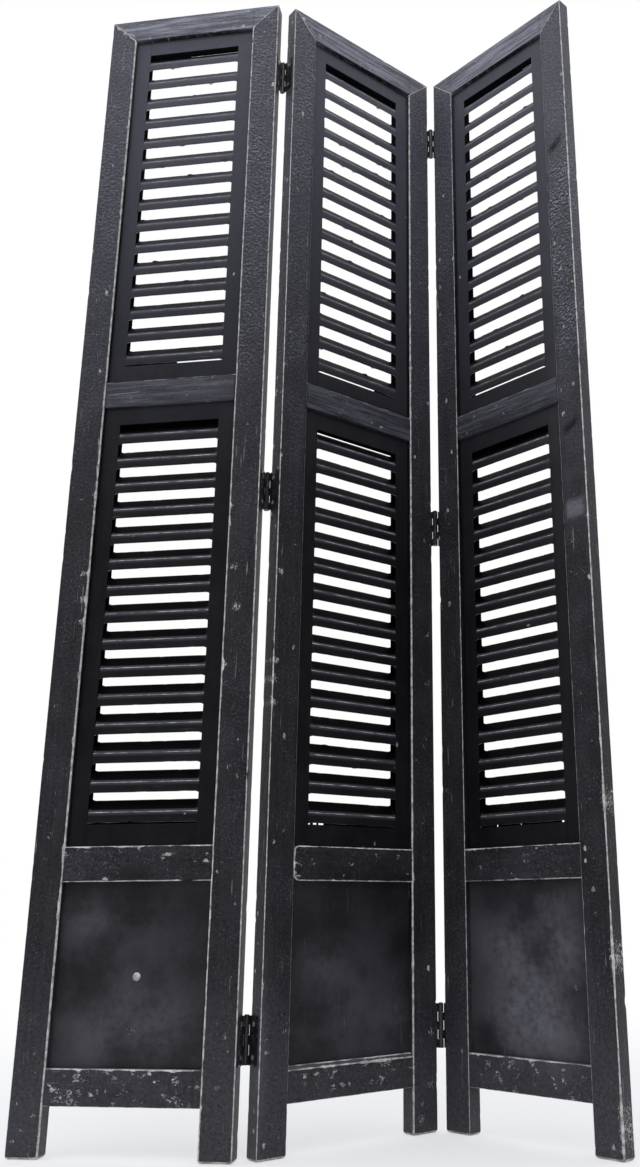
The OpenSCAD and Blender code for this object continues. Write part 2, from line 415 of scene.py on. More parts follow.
    def ledges(self) -> np.ndarray:
        """Say where dust settles on the sides that face up, or where dust and a painted highlight lie as a
        bell about one round corner, a slat's nose.
        """
        if self.dust_and_highlight_corner is not None:
            at_corner = self.ring.corner == self.dust_and_highlight_corner
            return np.exp(-((self.ring.arris / NOSE_DUST_AND_HIGHLIGHT) ** 2)) * at_corner
        if self.run is Run.UP:
            return np.zeros(len(self.ring.points))
        return np.clip(self.ring.outward[:, 1], 0.0, 1.0)

    def coated(self) -> np.ndarray:
        """Say which strips along the board take its second finish, the painted shade, by the way out of each
        strip.
        """
        way = (self.ring.outward + np.roll(self.ring.outward, -1, axis=0)) / 2.0
        sides = {
            Coat.NONE: np.zeros(len(way), bool),
            Coat.LEFT_SIDE: way[:, 0] < -0.9,
            Coat.RIGHT_SIDE: way[:, 0] > 0.9,
            Coat.UNDERSIDE: way[:, 1] < -0.9,
            Coat.SLOPE: (way[:, 0] < -0.7) & (way[:, 1] > 0.5),
            Coat.WHOLE: np.ones(len(way), bool),
        }
        return sides[self.coat]


PLUG_RINGS = 6
PLUG_SIDES = 24
PLUG_CROWN = 0.12


def plug(x: float, z: float, radius: float, face: float, proud: float) -> Surface:
    """Make a painted plug in a board's face: a low dome.

    Rings stand round the plug's middle: each has a share of the radius that follows a sine, and stands proud
    of the face by the cosine of the same turn. The first ring is sunk in the board.

    Args:
        x: Middle of the plug across the leaf.
        z: Its height on the leaf.
        radius: Its radius.
        face: Depth of the board's face.
        proud: How far it stands out.

    Returns:
        The plug's closed surface.
    """
    turn = np.linspace(math.pi / 2.0, PLUG_CROWN, PLUG_RINGS)
    reach = radius * np.concatenate([[1.0], np.sin(turn)])
    depth = face - proud * np.concatenate([[-1.0], np.cos(turn)])
    around = np.linspace(0.0, 2.0 * math.pi, PLUG_SIDES, endpoint=False)
    across, up = x + reach[:, None] * np.cos(around), z + reach[:, None] * np.sin(around)
    points = np.stack([across, np.broadcast_to(depth[:, None], across.shape), up], axis=-1)
    return Surface(points, np.zeros(across.shape), np.zeros(across.shape), np.zeros(len(around), bool))


def linked(name: str, data: bpy.types.ID) -> bpy.types.Object:
    """Make an object from its data and link it to the scene."""
    made = bpy.data.objects.new(name, data)
    bpy.context.scene.collection.objects.link(made)
    return made


def looking(place: Sequence[float], right: np.ndarray, up: np.ndarray, ahead: np.ndarray) -> Matrix:
    """Give the matrix of a camera or a lamp that stands at a place and looks ahead."""
    turned = np.eye(4)
    turned[:3, :3] = np.stack([right, up, -ahead], axis=1)
    turned[:3, 3] = place
    return Matrix(turned.tolist())


def mesh_piece(
    name: str, surfaces: Sequence[Surface], placement: Placement, marks: Sequence[Mark], shift: float
) -> bpy.types.Object:
    """Join closed surfaces into one mesh piece.

    Quads join each ring to the next, and a fan about a pole closes each end.

    Args:
        name: The piece's name.
        surfaces: Closed tubes of points in the leaf's own frame.
        placement: Where the leaf stands.
        marks: The leaf's marks.
        shift: Distance by which the leaf's patterns are moved, so that no two leaves repeat.

    Returns:
        The new object, at the origin with its place in its mesh.
    """
    points, arris, ledges, coats, quads, fans, used = [], [], [], [], [], [], 0
    for surface in surfaces:
        rings, sides = surface.arris.shape
        poles = surface.points[[0, -1]].mean(axis=1)
        points.append(np.concatenate([surface.points.reshape(-1, 3), poles]))
        arris.append(np.concatenate([surface.arris.ravel(), surface.arris[[0, -1]].mean(axis=1)]))
        ledges.append(np.concatenate([surface.ledge.ravel(), [0.0, 0.0]]))
        coats.append(np.broadcast_to(surface.second_coat, (rings - 1, sides)).ravel())
        here = used + np.arange(rings * sides).reshape(rings, sides)
        beside = np.roll(here, -1, axis=1)
        quads.append(np.stack([here[:-1], beside[:-1], beside[1:], here[1:]], axis=-1).reshape(-1, 4))
        first, last = np.full(sides, used + rings * sides), np.full(sides, used + rings * sides + 1)
        fans.append(np.stack([first, beside[0], here[0]], axis=-1))
        fans.append(np.stack([last, here[-1], beside[-1]], axis=-1))
        used += rings * sides + 2
    local, four, three = np.concatenate(points), np.concatenate(quads), np.concatenate(fans)
    mesh = bpy.data.meshes.new(name)
    mesh.vertices.add(len(local))
    mesh.vertices.foreach_set("co", placement.apply(local).astype(np.float32).ravel())
    mesh.loops.add(four.size + three.size)
    mesh.loops.foreach_set("vertex_index", np.concatenate([four.ravel(), three.ravel()]).astype(np.int32))
    mesh.polygons.add(len(four) + len(three))
    starts = np.concatenate([np.arange(len(four)) * 4, four.size + np.arange(len(three)) * 3])
    mesh.polygons.foreach_set("loop_start", starts.astype(np.int32))
    mesh.polygons.foreach_set("use_smooth", np.ones(len(starts), bool))
    coat = np.concatenate([*coats, np.zeros(len(three), bool)])
    mesh.polygons.foreach_set("material_index", coat.astype(np.int32))
    mesh.update(calc_edges=True)
    mesh.validate()
    pattern = local + np.array([shift, 0.0, shift])
    place = mesh.attributes.new("board_place", "FLOAT_VECTOR", "POINT")
    place.data.foreach_set("vector", pattern.astype(np.float32).ravel())
    values = {"arris": np.concatenate(arris), "ledge": np.concatenate(ledges)}
    for kind in MarkKind:
        felt = [mark.over(local) for mark in marks if mark.kind is kind]
        joined = np.max if kind is MarkKind.CHIP else np.sum
        values[kind.value] = np.clip(joined(felt, axis=0), 0.0, 1.0) if felt else np.zeros(len(local))
    for title, numbers in values.items():
        layer = mesh.attributes.new(title, "FLOAT", "POINT")
        layer.data.foreach_set("value", numbers.astype(np.float32))
    return linked(name, mesh)


class Graph:
    """A node tree with short calls that add nodes and join them."""

    def __init__(self, tree: bpy.types.NodeTree) -> None:
        """Take the tree to add to."""
        self.tree = tree

    def add(self, kind: str, feeds: dict | None = None, **settings: object) -> bpy.types.Node:
        """Add a node.

        Args:
            kind: The node's type.
            feeds: A socket or a plain value for each named or numbered input.
            settings: The node's own settings.

        Returns:
            The new node.
        """
        node = self.tree.nodes.new(kind)
        for title, value in settings.items():
            setattr(node, title, value)
        for key, value in (feeds or {}).items():
            if isinstance(value, Socket):
                self.tree.links.new(value, node.inputs[key])
            else:
                node.inputs[key].default_value = value
        return node

    def attribute(self, title: str, output: str = "Fac") -> Socket:
        """Read one of the mesh's own attributes."""
        node = self.add("ShaderNodeAttribute", attribute_type="GEOMETRY", attribute_name=title)
        return node.outputs[output]

    def math(self, operation: str, first: object, second: object) -> Socket:
        """Join two values by one sum."""
        return self.add("ShaderNodeMath", {0: first, 1: second}, operation=operation).outputs[0]

    def times(self, first: object, second: object) -> Socket:
        """Multiply two values."""
        return self.math("MULTIPLY", first, second)

    def plus(self, first: object, second: object) -> Socket:
        """Add two values."""
        return self.math("ADD", first, second)

    def less(self, first: object, second: object) -> Socket:
        """Take the second value from the first."""
        return self.math("SUBTRACT", first, second)

    def most(self, first: object, second: object) -> Socket:
        """Give the greater of two values."""
        return self.math("MAXIMUM", first, second)

    def mix(self, share: object, first: object, second: object) -> Socket:
        """Mix two colours by a share."""
        feeds = {0: share, 6: first, 7: second}
        return self.add("ShaderNodeMix", feeds, data_type="RGBA").outputs[2]

    def ease(self, value: object, low: object, high: object, to: Stretch = (0.0, 1.0)) -> Socket:
        """Carry a value smoothly from one range to another."""
        feeds = {0: value, 1: low, 2: high, 3: to[0], 4: to[1]}
        return self.add("ShaderNodeMapRange", feeds, interpolation_type="SMOOTHSTEP").outputs[0]

    def parts(self, vector: object) -> bpy.types.bpy_prop_collection:
        """Take a vector or a colour apart."""
        return self.add("ShaderNodeSeparateXYZ", {0: vector}).outputs

    def noise(
        self, place: object, scale: object, detail: float = 2.0, rough: float = 0.5, output: int | str = 0
    ) -> Socket:
        """Add a cloud of noise."""
        feeds = {"Vector": place, "Scale": scale, "Detail": detail, "Roughness": rough}
        return self.add("ShaderNodeTexNoise", feeds).outputs[output]

    def vector(self, operation: str, feeds: dict) -> Socket:
        """Work on vectors by one sum."""
        return self.add("ShaderNodeVectorMath", feeds, operation=operation).outputs[0]

    def stir(self, place: object, scale: float, amount: float) -> Socket:
        """Move a place about by noise."""
        middle = self.vector("SUBTRACT", {0: self.noise(place, scale, output="Color"), 1: (0.5, 0.5, 0.5)})
        return self.vector("ADD", {0: place, 1: self.vector("SCALE", {0: middle, "Scale": amount})})

    def stretch(self, place: object, scale: tuple[float, float, float]) -> Socket:
        """Stretch a pattern along an axis."""
        return self.add("ShaderNodeMapping", {"Vector": place, "Scale": scale}).outputs[0]


def fresh_material(name: str) -> tuple[Material, Graph]:
    """Make a material with an empty node tree, and the graph that fills it."""
    material = bpy.data.materials.new(name)
    material.use_nodes = True
    material.node_tree.nodes.clear()
    return material, Graph(material.node_tree)


class Effect:
    """A shader node group that more than one finish uses."""

    def __init__(self, name: str, inputs: dict[str, str], outputs: Sequence[str]) -> None:
        """Make the empty group.

        Args:
            name: The group's name.
            inputs: The kind of each named input.
            outputs: Names of the values that it puts out.
        """
        self.tree = bpy.data.node_groups.new(name, "ShaderNodeTree")
        for title, kind in inputs.items():
            self.tree.interface.new_socket(title, in_out="INPUT", socket_type=f"NodeSocket{kind}")
        for title in outputs:
            self.tree.interface.new_socket(title, in_out="OUTPUT", socket_type="NodeSocketFloat")
        self.graph = Graph(self.tree)
        self.inputs = self.graph.add("NodeGroupInput").outputs
        self.outputs = self.graph.add("NodeGroupOutput").inputs

    def give(self, title: str, value: Socket) -> None:
        """Join a value to an output of the group."""
        self.tree.links.new(value, self.outputs[title])

    def place_in(self, graph: Graph, feeds: dict) -> bpy.types.bpy_prop_collection:
        """Place the group in a material and give its outputs."""
        return graph.add("ShaderNodeGroup", feeds, node_tree=self.tree).outputs


def rubbed_arris() -> Effect:
    """Make the rub along arrises: bare where the arris is nearer than a reach that wanders along it."""
    inputs = {"Place": "Vector", "Long": "Vector", "Arris": "Float", "Reach": "Float", "Bare": "Float"}
    effect = Effect("rubbed_arris", inputs, ["Mask"])
    graph, place = effect.graph, effect.inputs["Place"]
    patch = graph.noise(place, scale=30.0, detail=4.0, rough=0.65)
    kept = graph.less(1.0, effect.inputs["Bare"])
    here = graph.ease(patch, graph.less(kept, 0.2), graph.plus(kept, 0.1), (0.2, 1.0))
    streaky = graph.noise(effect.inputs["Long"], scale=700.0, detail=2.0, rough=0.6)
    ragged = graph.plus(graph.noise(place, scale=420.0, detail=3.0, rough=0.6), streaky)
    reach = graph.times(graph.times(here, ragged), effect.inputs["Reach"])
    effect.give("Mask", graph.ease(graph.less(reach, effect.inputs["Arris"]), 0.0, 0.0004))
    return effect


def flecks() -> Effect:
    """Make flecks and chips.

    Flecks are ragged round cells of random sizes. A share of them is there, more where slow noise is high.
    Chips are the peaks of fine noise, and the stronger a chip's mark is, the lower the peaks that show.
    """
    inputs = {"Place": "Vector", "Share": "Float", "Scale": "Float", "Chips": "Float"}
    effect = Effect("flecks", inputs, ["Mask"])
    graph = effect.graph
    place = graph.stir(effect.inputs["Place"], 260.0, 0.005)
    cells = graph.add("ShaderNodeTexVoronoi", {"Vector": place, "Scale": effect.inputs["Scale"]}).outputs
    dice = graph.parts(cells["Color"])
    slow = graph.noise(effect.inputs["Place"], scale=17.0, detail=3.0, rough=0.6)
    patch = graph.ease(slow, 0.40, 0.70, (0.3, 1.0))
    there = graph.ease(graph.less(graph.times(patch, effect.inputs["Share"]), dice[0]), 0.0, 0.02)
    radius = graph.plus(graph.times(dice[1], 0.2), 0.08)
    spot = graph.times(graph.ease(graph.less(radius, cells["Distance"]), 0.0, 0.07), there)
    sill = graph.ease(effect.inputs["Chips"], 0.0, 1.0, (0.78, 0.45))
    fine = graph.noise(place, scale=430.0, detail=3.0, rough=0.6)
    chip = graph.ease(fine, sill, graph.plus(sill, 0.06))
    depth = graph.ease(graph.noise(place, scale=90.0), 0.36, 0.62, (0.5, 1.0))
    effect.give("Mask", graph.times(graph.most(spot, chip), depth))
    return effect


def brushed_grain() -> Effect:
    """Make raised grain and rare scratches: streaks of noise on a place that is stretched along the board."""
    effect = Effect("brushed_grain", {"Place": "Vector"}, ["Streak", "Height", "Scratch"])
    graph = effect.graph
    place = graph.stir(effect.inputs["Place"], 9.0, 0.012)
    fine = graph.noise(place, scale=420.0, detail=5.0, rough=0.7)
    broad = graph.noise(place, scale=120.0, detail=3.0, rough=0.6)
    both = graph.plus(graph.times(fine, 0.55), graph.times(broad, 0.45))
    effect.give("Streak", graph.ease(both, 0.42, 0.60))
    effect.give("Height", both)
    effect.give("Scratch", graph.ease(graph.noise(place, scale=300.0), 0.70, 0.76))
    return effect


def pitted_paint() -> Effect:
    """Make leathery paint: lumps of noise with a few small pits, grit that shows in patches as pale specks,
    which also stand for painted sparkle, and pebbles.

    Pebbles are bumps of noise with painted light and shade: their lit crests, paler as if lit from above, are
    where the noise is high or falls on the way up the board, and their shaded hollows are where it is low or
    rises.
    """
    effect = Effect("pitted_paint", {"Place": "Vector"}, ["Height", "GritAndSparkle", "Bumps", "LitCrest", "ShadedHollow"])
    graph, place = effect.graph, effect.inputs["Place"]
    lumps = graph.noise(place, scale=190.0, detail=5.0, rough=0.66)
    stirred = {"Vector": graph.stir(place, 300.0, 0.004), "Scale": 110.0}
    cells = graph.add("ShaderNodeTexVoronoi", stirred).outputs
    few = graph.ease(graph.parts(cells["Color"])[0], 0.55, 0.75)
    pit = graph.times(graph.ease(cells["Distance"], 0.06, 0.26, (0.25, 0.0)), few)
    effect.give("Height", graph.less(lumps, pit))
    patch = graph.ease(graph.noise(place, scale=23.0, detail=3.0, rough=0.6), 0.40, 0.62, (0.2, 1.0))
    fine = graph.ease(graph.noise(place, scale=360.0, detail=3.0, rough=0.6), 0.55, 0.70)
    effect.give("GritAndSparkle", graph.times(fine, patch))
    lifted = graph.vector("ADD", {0: place, 1: (0.0, 0.0, 0.0014)})
    bumps = graph.noise(place, scale=220.0, detail=2.0, rough=0.55)
    fall = graph.less(bumps, graph.noise(lifted, scale=220.0, detail=2.0, rough=0.55))
    high = graph.plus(fall, graph.times(graph.less(bumps, 0.5), 0.6))
    effect.give("Bumps", bumps)
    effect.give("LitCrest", graph.ease(high, 0.03, 0.15))
    effect.give("ShadedHollow", graph.ease(high, -0.14, -0.02, (1.0, 0.0)))
    return effect


def clouds() -> Effect:
    """Make slow clouds in the paint: noise of several sizes with its middle range drawn out."""
    effect = Effect("clouds", {"Place": "Vector", "Scale": "Float"}, ["Mask", "Fine"])
    graph, place = effect.graph, effect.inputs["Place"]
    cloud = graph.noise(place, scale=effect.inputs["Scale"], detail=7.0, rough=0.66)
    effect.give("Mask", graph.ease(cloud, 0.38, 0.64))
    effect.give("Fine", graph.noise(place, scale=90.0, detail=4.0, rough=0.6))
    return effect


@dataclass(frozen=True)
class Effects:
    """The shared node groups."""

    rub: Effect = field(default_factory=rubbed_arris)
    fleck: Effect = field(default_factory=flecks)
    grain: Effect = field(default_factory=brushed_grain)
    pitted: Effect = field(default_factory=pitted_paint)
    cloud: Effect = field(default_factory=clouds)


GRAIN_STRETCH = {Run.UP: (1.0, 1.0, 0.045), Run.ACROSS: (0.045, 1.0, 1.0)}
FLECK_STRETCH = {Run.UP: (1.0, 1.0, 0.6), Run.ACROSS: (0.6, 1.0, 1.0)}
TOP_LIGHT_HEIGHTS = (0.8, 1.95)
DUST_AND_BOUNCE_HEIGHT = 0.3
WRINKLE_HEIGHTS = (0.7, 1.6)


@dataclass(frozen=True)
class PaintFinish:
    """Worn black paint on a board: its colours, its roughness, how much of each kind of wear it has, and how
    much painted light and shade it takes.
    """

    name: str
    run: Run
    black: Colour = (0.0030, 0.0029, 0.0035, 1.0)
    faded: Colour = (0.0235, 0.0227, 0.0268, 1.0)
    chalk_and_light: Colour = (0.138, 0.140, 0.170, 1.0)
    haze: Colour = (0.150, 0.146, 0.165, 1.0)
    bare_pale: Colour = (0.76, 0.75, 0.715, 1.0)
    bare_dark: Colour = (0.33, 0.317, 0.285, 1.0)
    crest_highlight: Colour = (0.33, 0.326, 0.37, 1.0)
    roughness: float = 0.42
    specular: float = 0.2
    fading: float = 0.75
    cloud_scale: float = 11.0
    streaks: float = 0.06
    pits: float = 0.5
    grit_and_sparkle: float = 0.0
    pebbles: float = 0.0
    relief: float = 0.0016
    rub_reach: float = 0.0012
    rub_bare: float = 0.5
    fleck_share: float = 0.22
    fleck_scale: float = 95.0
    scratched: float = 0.4
    painted_top_light: float = 0.47
    floor_dust_and_bounce: float = 0.26
    ledge_dust_and_highlight: float = 0.0

    def material(self, effects: Effects) -> Material:
        """Build the finish as a material.

        Args:
            effects: The shared node groups.

        Returns:
            The new material.
        """
        material, graph = fresh_material(self.name)
        place = graph.attribute("board_place", "Vector")
        long_place = graph.stretch(place, GRAIN_STRETCH[self.run])
        cloud = effects.cloud.place_in(graph, {"Place": place, "Scale": self.cloud_scale})
        grain = effects.grain.place_in(graph, {"Place": long_place})
        pitted = effects.pitted.place_in(graph, {"Place": place})
        chip = graph.attribute("chip")
        wider = graph.ease(chip, 0.0, 1.0, (self.rub_reach, 2.0 * self.rub_reach))
        rub_feeds = {"Place": place, "Long": long_place, "Arris": graph.attribute("arris")}
        rub = effects.rub.place_in(graph, rub_feeds | {"Reach": wider, "Bare": self.rub_bare})["Mask"]
        fleck_place = graph.stretch(place, FLECK_STRETCH[self.run])
        spots = {"Place": fleck_place, "Share": self.fleck_share, "Scale": self.fleck_scale}
        spots = effects.fleck.place_in(graph, spots | {"Chips": chip})["Mask"]
        spots = graph.most(spots, graph.times(grain["Scratch"], self.scratched))
        worn = graph.most(rub, graph.times(spots, 0.85))
        lumpy = graph.ease(pitted["Height"], 0.34, 0.54)
        leather = 0.5 * self.pits
        cloudy = graph.times(cloud["Mask"], (1.0 - leather) * self.fading)
        tone = graph.plus(cloudy, graph.times(lumpy, leather * self.fading))
        paint = graph.mix(tone, self.black, self.faded)
        height = graph.parts(graph.add("ShaderNodeTexCoord").outputs["Object"])[2]
        # Paler towards the top: painted light, where the sky lights the upper boards more.
        top_lit = graph.ease(height, *TOP_LIGHT_HEIGHTS, (0.0, self.painted_top_light))
        # Paler near the floor: dust, and painted bounce light from the floor.
        dust_and_bounce = graph.ease(height, 0.0, DUST_AND_BOUNCE_HEIGHT, (self.floor_dust_and_bounce, 0.0))
        mottle = graph.ease(pitted["Height"], 0.32, 0.62, (1.0 - 0.4 * self.pits, 1.0 + 0.3 * self.pits))
        mottle = graph.plus(mottle, graph.times(pitted["GritAndSparkle"], 1.3 * self.grit_and_sparkle))
        # Dust on sides that face up, and dust with a painted highlight along the slats' noses.
        dust_and_highlight = graph.times(graph.ease(graph.attribute("ledge"), 0.2, 1.0), self.ledge_dust_and_highlight)
        smear = graph.plus(graph.times(cloud["Mask"], 0.3), cloud["Fine"])
        haze = graph.times(graph.attribute("bloom"), graph.ease(smear, 0.25, 0.9, (0.3, 1.0)))
        wrinkled = graph.times(graph.ease(height, *WRINKLE_HEIGHTS, (0.08, 1.0)), self.pebbles)
        wrinkled = graph.plus(wrinkled, graph.attribute("pebble"))
        wrinkled = graph.times(wrinkled, graph.ease(cloud["Mask"], 0.0, 1.0, (0.5, 1.4)))
        # Blacker where there are real stains, and where shade is painted in cracks and gashes.
        stain_and_shade = graph.times(graph.attribute("stain_and_shade"), graph.ease(cloud["Fine"], 0.2, 0.5))
        layers = [
            (graph.times(dust_and_bounce, mottle), self.haze),
            (graph.plus(graph.times(top_lit, mottle), dust_and_highlight), self.chalk_and_light),
            (graph.times(grain["Streak"], self.streaks), self.chalk_and_light),
            # Pale specks of grit, which also stand for painted sparkle on the paint's relief.
            (graph.times(pitted["GritAndSparkle"], self.grit_and_sparkle), self.chalk_and_light),
            (haze, self.haze),
            # Painted light on the pebbles' crests and painted shade in their hollows.
            (graph.times(pitted["LitCrest"], wrinkled), self.crest_highlight),
            (graph.times(pitted["ShadedHollow"], wrinkled), self.black),
            (stain_and_shade, self.black),
        ]
        for share, tint in layers:
            paint = graph.mix(share, paint, tint)
        bare = graph.mix(graph.ease(cloud["Fine"], 0.35, 0.62), self.bare_dark, self.bare_pale)
        colour = graph.mix(worn, paint, bare)
        gloss = graph.plus(graph.times(cloud["Fine"], 0.24), self.roughness - 0.12)
        rough = graph.plus(gloss, graph.times(worn, 0.3))
        lumps = graph.times(pitted["Height"], self.pits)
        lumps = graph.plus(lumps, graph.times(pitted["Bumps"], wrinkled))
        ridges = graph.times(grain["Height"], 0.3 + self.streaks)
        sunk = graph.plus(graph.times(worn, 0.35), graph.times(stain_and_shade, 0.8 * self.pits))
        raised = graph.less(graph.plus(lumps, ridges), sunk)
        bump = graph.add("ShaderNodeBump", {"Height": raised, "Strength": 1.0, "Distance": self.relief})
        feeds = {"Base Color": colour, "Roughness": rough, "Normal": bump.outputs[0]}
        shader = graph.add("ShaderNodeBsdfPrincipled", feeds | {"Specular IOR Level": self.specular})
        graph.add("ShaderNodeOutputMaterial", {"Surface": shader.outputs[0]})
        return material


@dataclass(frozen=True)
class IronFinish:
    """Black iron with rubbed bright spots, for the hinges and their screws."""

    name: str
    black: Colour
    bright: Colour
    roughness: float
    rubbed: float
    metal: tuple[float, float]

    def material(self, effects: Effects) -> Material:
        """Build the finish as a material.

        Args:
            effects: The shared node groups.

        Returns:
            The new material.
        """
        material, graph = fresh_material(self.name)
        place = graph.add("ShaderNodeTexCoord").outputs["Object"]
        cloud = effects.cloud.place_in(graph, {"Place": place, "Scale": 60.0})
        pitted = effects.pitted.place_in(graph, {"Place": place})
        spots = effects.fleck.place_in(graph, {"Place": place, "Share": self.rubbed, "Scale": 500.0})["Mask"]
        rubbed = graph.most(spots, graph.ease(cloud["Fine"], 0.62, 0.72))
        colour = graph.mix(graph.times(rubbed, 0.6), self.black, self.bright)
        rough = graph.plus(graph.times(cloud["Mask"], 0.22), self.roughness)
        metal = graph.ease(rubbed, 0.0, 1.0, self.metal)
        bump = graph.add("ShaderNodeBump", {"Height": pitted["Height"], "Strength": 1.0, "Distance": 0.0002})
        feeds = {"Base Color": colour, "Roughness": rough, "Metallic": metal, "Normal": bump.outputs[0]}
        shader = graph.add("ShaderNodeBsdfPrincipled", feeds)
        graph.add("ShaderNodeOutputMaterial", {"Surface": shader.outputs[0]})
        return material


INSERT_PAINT = PaintFinish(
    "insert_paint", Run.UP, black=(0.0034, 0.0034, 0.0040, 1.0), faded=(0.0100, 0.0098, 0.0118, 1.0),
    specular=0.16, streaks=0.015, pits=0.2, relief=0.0005, rub_reach=0.0006, fleck_share=0.03,
    scratched=0.0, painted_top_light=0.52,
)
# Pitch black with no gloss: painted shade on the jambs' slot-facing sides, under the brows and on the paint
# beads in the cracks.
PAINTED_SHADE_PAINT = PaintFinish(
    "painted_shade_paint", Run.UP, black=(0.0012, 0.0012, 0.0014, 1.0), faded=(0.0026, 0.0026, 0.0030, 1.0),
    specular=0.0, streaks=0.0, pits=0.4, relief=0.0004, rub_reach=0.0, fleck_share=0.0, scratched=0.0,
    painted_top_light=0.05,
)
FINISHES = {
    "stile": PaintFinish(
        "stile_paint", Run.UP, pits=1.0, grit_and_sparkle=0.85, pebbles=0.22, relief=0.0022, rub_bare=0.66
    ),
    "rail": PaintFinish(
        "rail_paint", Run.ACROSS, faded=(0.040, 0.0388, 0.0455, 1.0), pits=0.9, grit_and_sparkle=0.8, relief=0.0018,
        fleck_share=0.26, scratched=0.2, floor_dust_and_bounce=0.16, ledge_dust_and_highlight=0.8,
    ),
    "mid_rail": PaintFinish("mid_rail_paint", Run.ACROSS, streaks=0.58, pits=0.45, grit_and_sparkle=0.3, rub_bare=0.4),
    "top_rail": PaintFinish(
        "top_rail_paint", Run.ACROSS, chalk_and_light=(0.30, 0.305, 0.36, 1.0), streaks=1.0, pits=0.2, grit_and_sparkle=0.3,
        pebbles=0.12, rub_bare=0.34, fleck_share=0.2, painted_top_light=0.3,
    ),
    "panel": PaintFinish(
        "panel_paint", Run.UP, black=(0.0105, 0.0102, 0.0120, 1.0), faded=(0.047, 0.0456, 0.0526, 1.0),
        fading=0.8, cloud_scale=8.0, streaks=0.0, pits=0.12, grit_and_sparkle=0.06, relief=0.0005, fleck_share=0.05,
        scratched=0.1, floor_dust_and_bounce=0.0,
    ),
    "insert": INSERT_PAINT,
    "painted_shade": PAINTED_SHADE_PAINT,
    # Near black with almost no gloss: painted shade on the slats' upward slopes, which lie under the slat
    # above.
    "slope": replace(
        PAINTED_SHADE_PAINT, name="slope_paint", run=Run.ACROSS, faded=(0.0030, 0.0030, 0.0036, 1.0),
        specular=0.02, pits=0.2, painted_top_light=0.2, ledge_dust_and_highlight=0.3,
    ),
    "slat": replace(
        INSERT_PAINT, name="slat_paint", run=Run.ACROSS, specular=0.2, streaks=0.02, relief=0.0004,
        rub_reach=0.0008, scratched=0.1, ledge_dust_and_highlight=0.28,
    ),
}
HINGE_IRON = IronFinish(
    "hinge_iron", (0.013, 0.013, 0.015, 1.0), (0.24, 0.23, 0.21, 1.0),
    roughness=0.2, rubbed=0.3, metal=(0.0, 0.5)
)
# Pale steel whose light colour also paints the highlights on the screw heads.
SCREW_STEEL_AND_HIGHLIGHT = IronFinish(
    "screw_steel_and_highlight", (0.30, 0.29, 0.27, 1.0), (0.62, 0.61, 0.58, 1.0),
    roughness=0.28, rubbed=0.3, metal=(0.1, 0.5)
)


@dataclass(frozen=True)
class LeafSizes:
    """Sizes of a leaf that its solids' boxes don't give, in metres."""

    width: float = 0.300
    thick: float = 0.024
    stile_w: float = 0.045
    arris_r: float = 0.0018
    foot_r: float = 0.0045
    rail_back: float = 0.0006
    panel_back: float = 0.009
    panel_t: float = 0.006
    insert_back: float = 0.007
    insert_t: float = 0.014
    jamb_w: float = 0.026
    border_h: float = 0.0295
    slats: int = 15
    slat_rise: float = 0.018
    slat_face: float = 0.0155
    slat_edge_r: float = 0.00045
    slat_nose_r: float = 0.015
    slat_tail_r: float = 0.004
    slot_corner_r: float = 0.002
    crack_h: float = 0.0036
    seal_t: float = 0.003
    loose_end_r: float = 0.010
    chamfer: tuple[float, float] = (0.004, 0.005)
    plug_r: float = 0.0055
    plug_proud: float = 0.0026
    mitre_r: float = 0.0006
    end_r: float = 0.0008
    loose_r: float = 0.002
    butt_r: float = 0.0001
    sharp_r: float = 0.0004
    seal_r: float = 0.0006
    seal_sunk: float = 0.001
    seal_hang: float = 0.002


@dataclass(frozen=True)
class Fineness:
    """Mean distance between the points of a board's outline, and between its rings, in metres."""

    outline: float
    rings: float


FINENESS = {
    "stile": Fineness(0.0042, 0.0040),
    "rail": Fineness(0.0036, 0.0025),
    "panel": Fineness(0.0040, 0.0040),
    "jamb": Fineness(0.005, 0.007),
    "border": Fineness(0.005, 0.004),
    "bead": Fineness(0.002, 0.003),
    "slat": Fineness(0.004, 0.0042),
}
SLAT_ARC_STEPS = 6
NOSE_CORNER = 3
NOSE_RUB = {Level.LOWER: 0.7, Level.UPPER: 0.5}
RAIL_SEED = 10
PANEL_SEED = 20
INSERT_SEED = {Level.LOWER: 30, Level.UPPER: 60}
BORDER_SEED = 4
SLAT_SEED = 8
BEAD_SEED = 24
UPPER_BEAD_SEED = 28
PATTERN_SHIFT = 3.0


@dataclass(frozen=True)
class LeafWear:
    """How one leaf is worn: rub on its stiles' corners, crumbs on slats, and cracks that paint has closed."""

    left_stile: Corners
    right_stile: Corners
    crumbs: dict[Level, float]
    sealed: dict[Level, Sequence[Stretch]]
    sealed_above: dict[Level, Sequence[Stretch]]
    lifted_border: dict[Level, float] = field(default_factory=dict)
    loose_rail: RailName | None = None
    chamfered_rail: RailName | None = None
    plugs: Sequence[Stretch] = ()


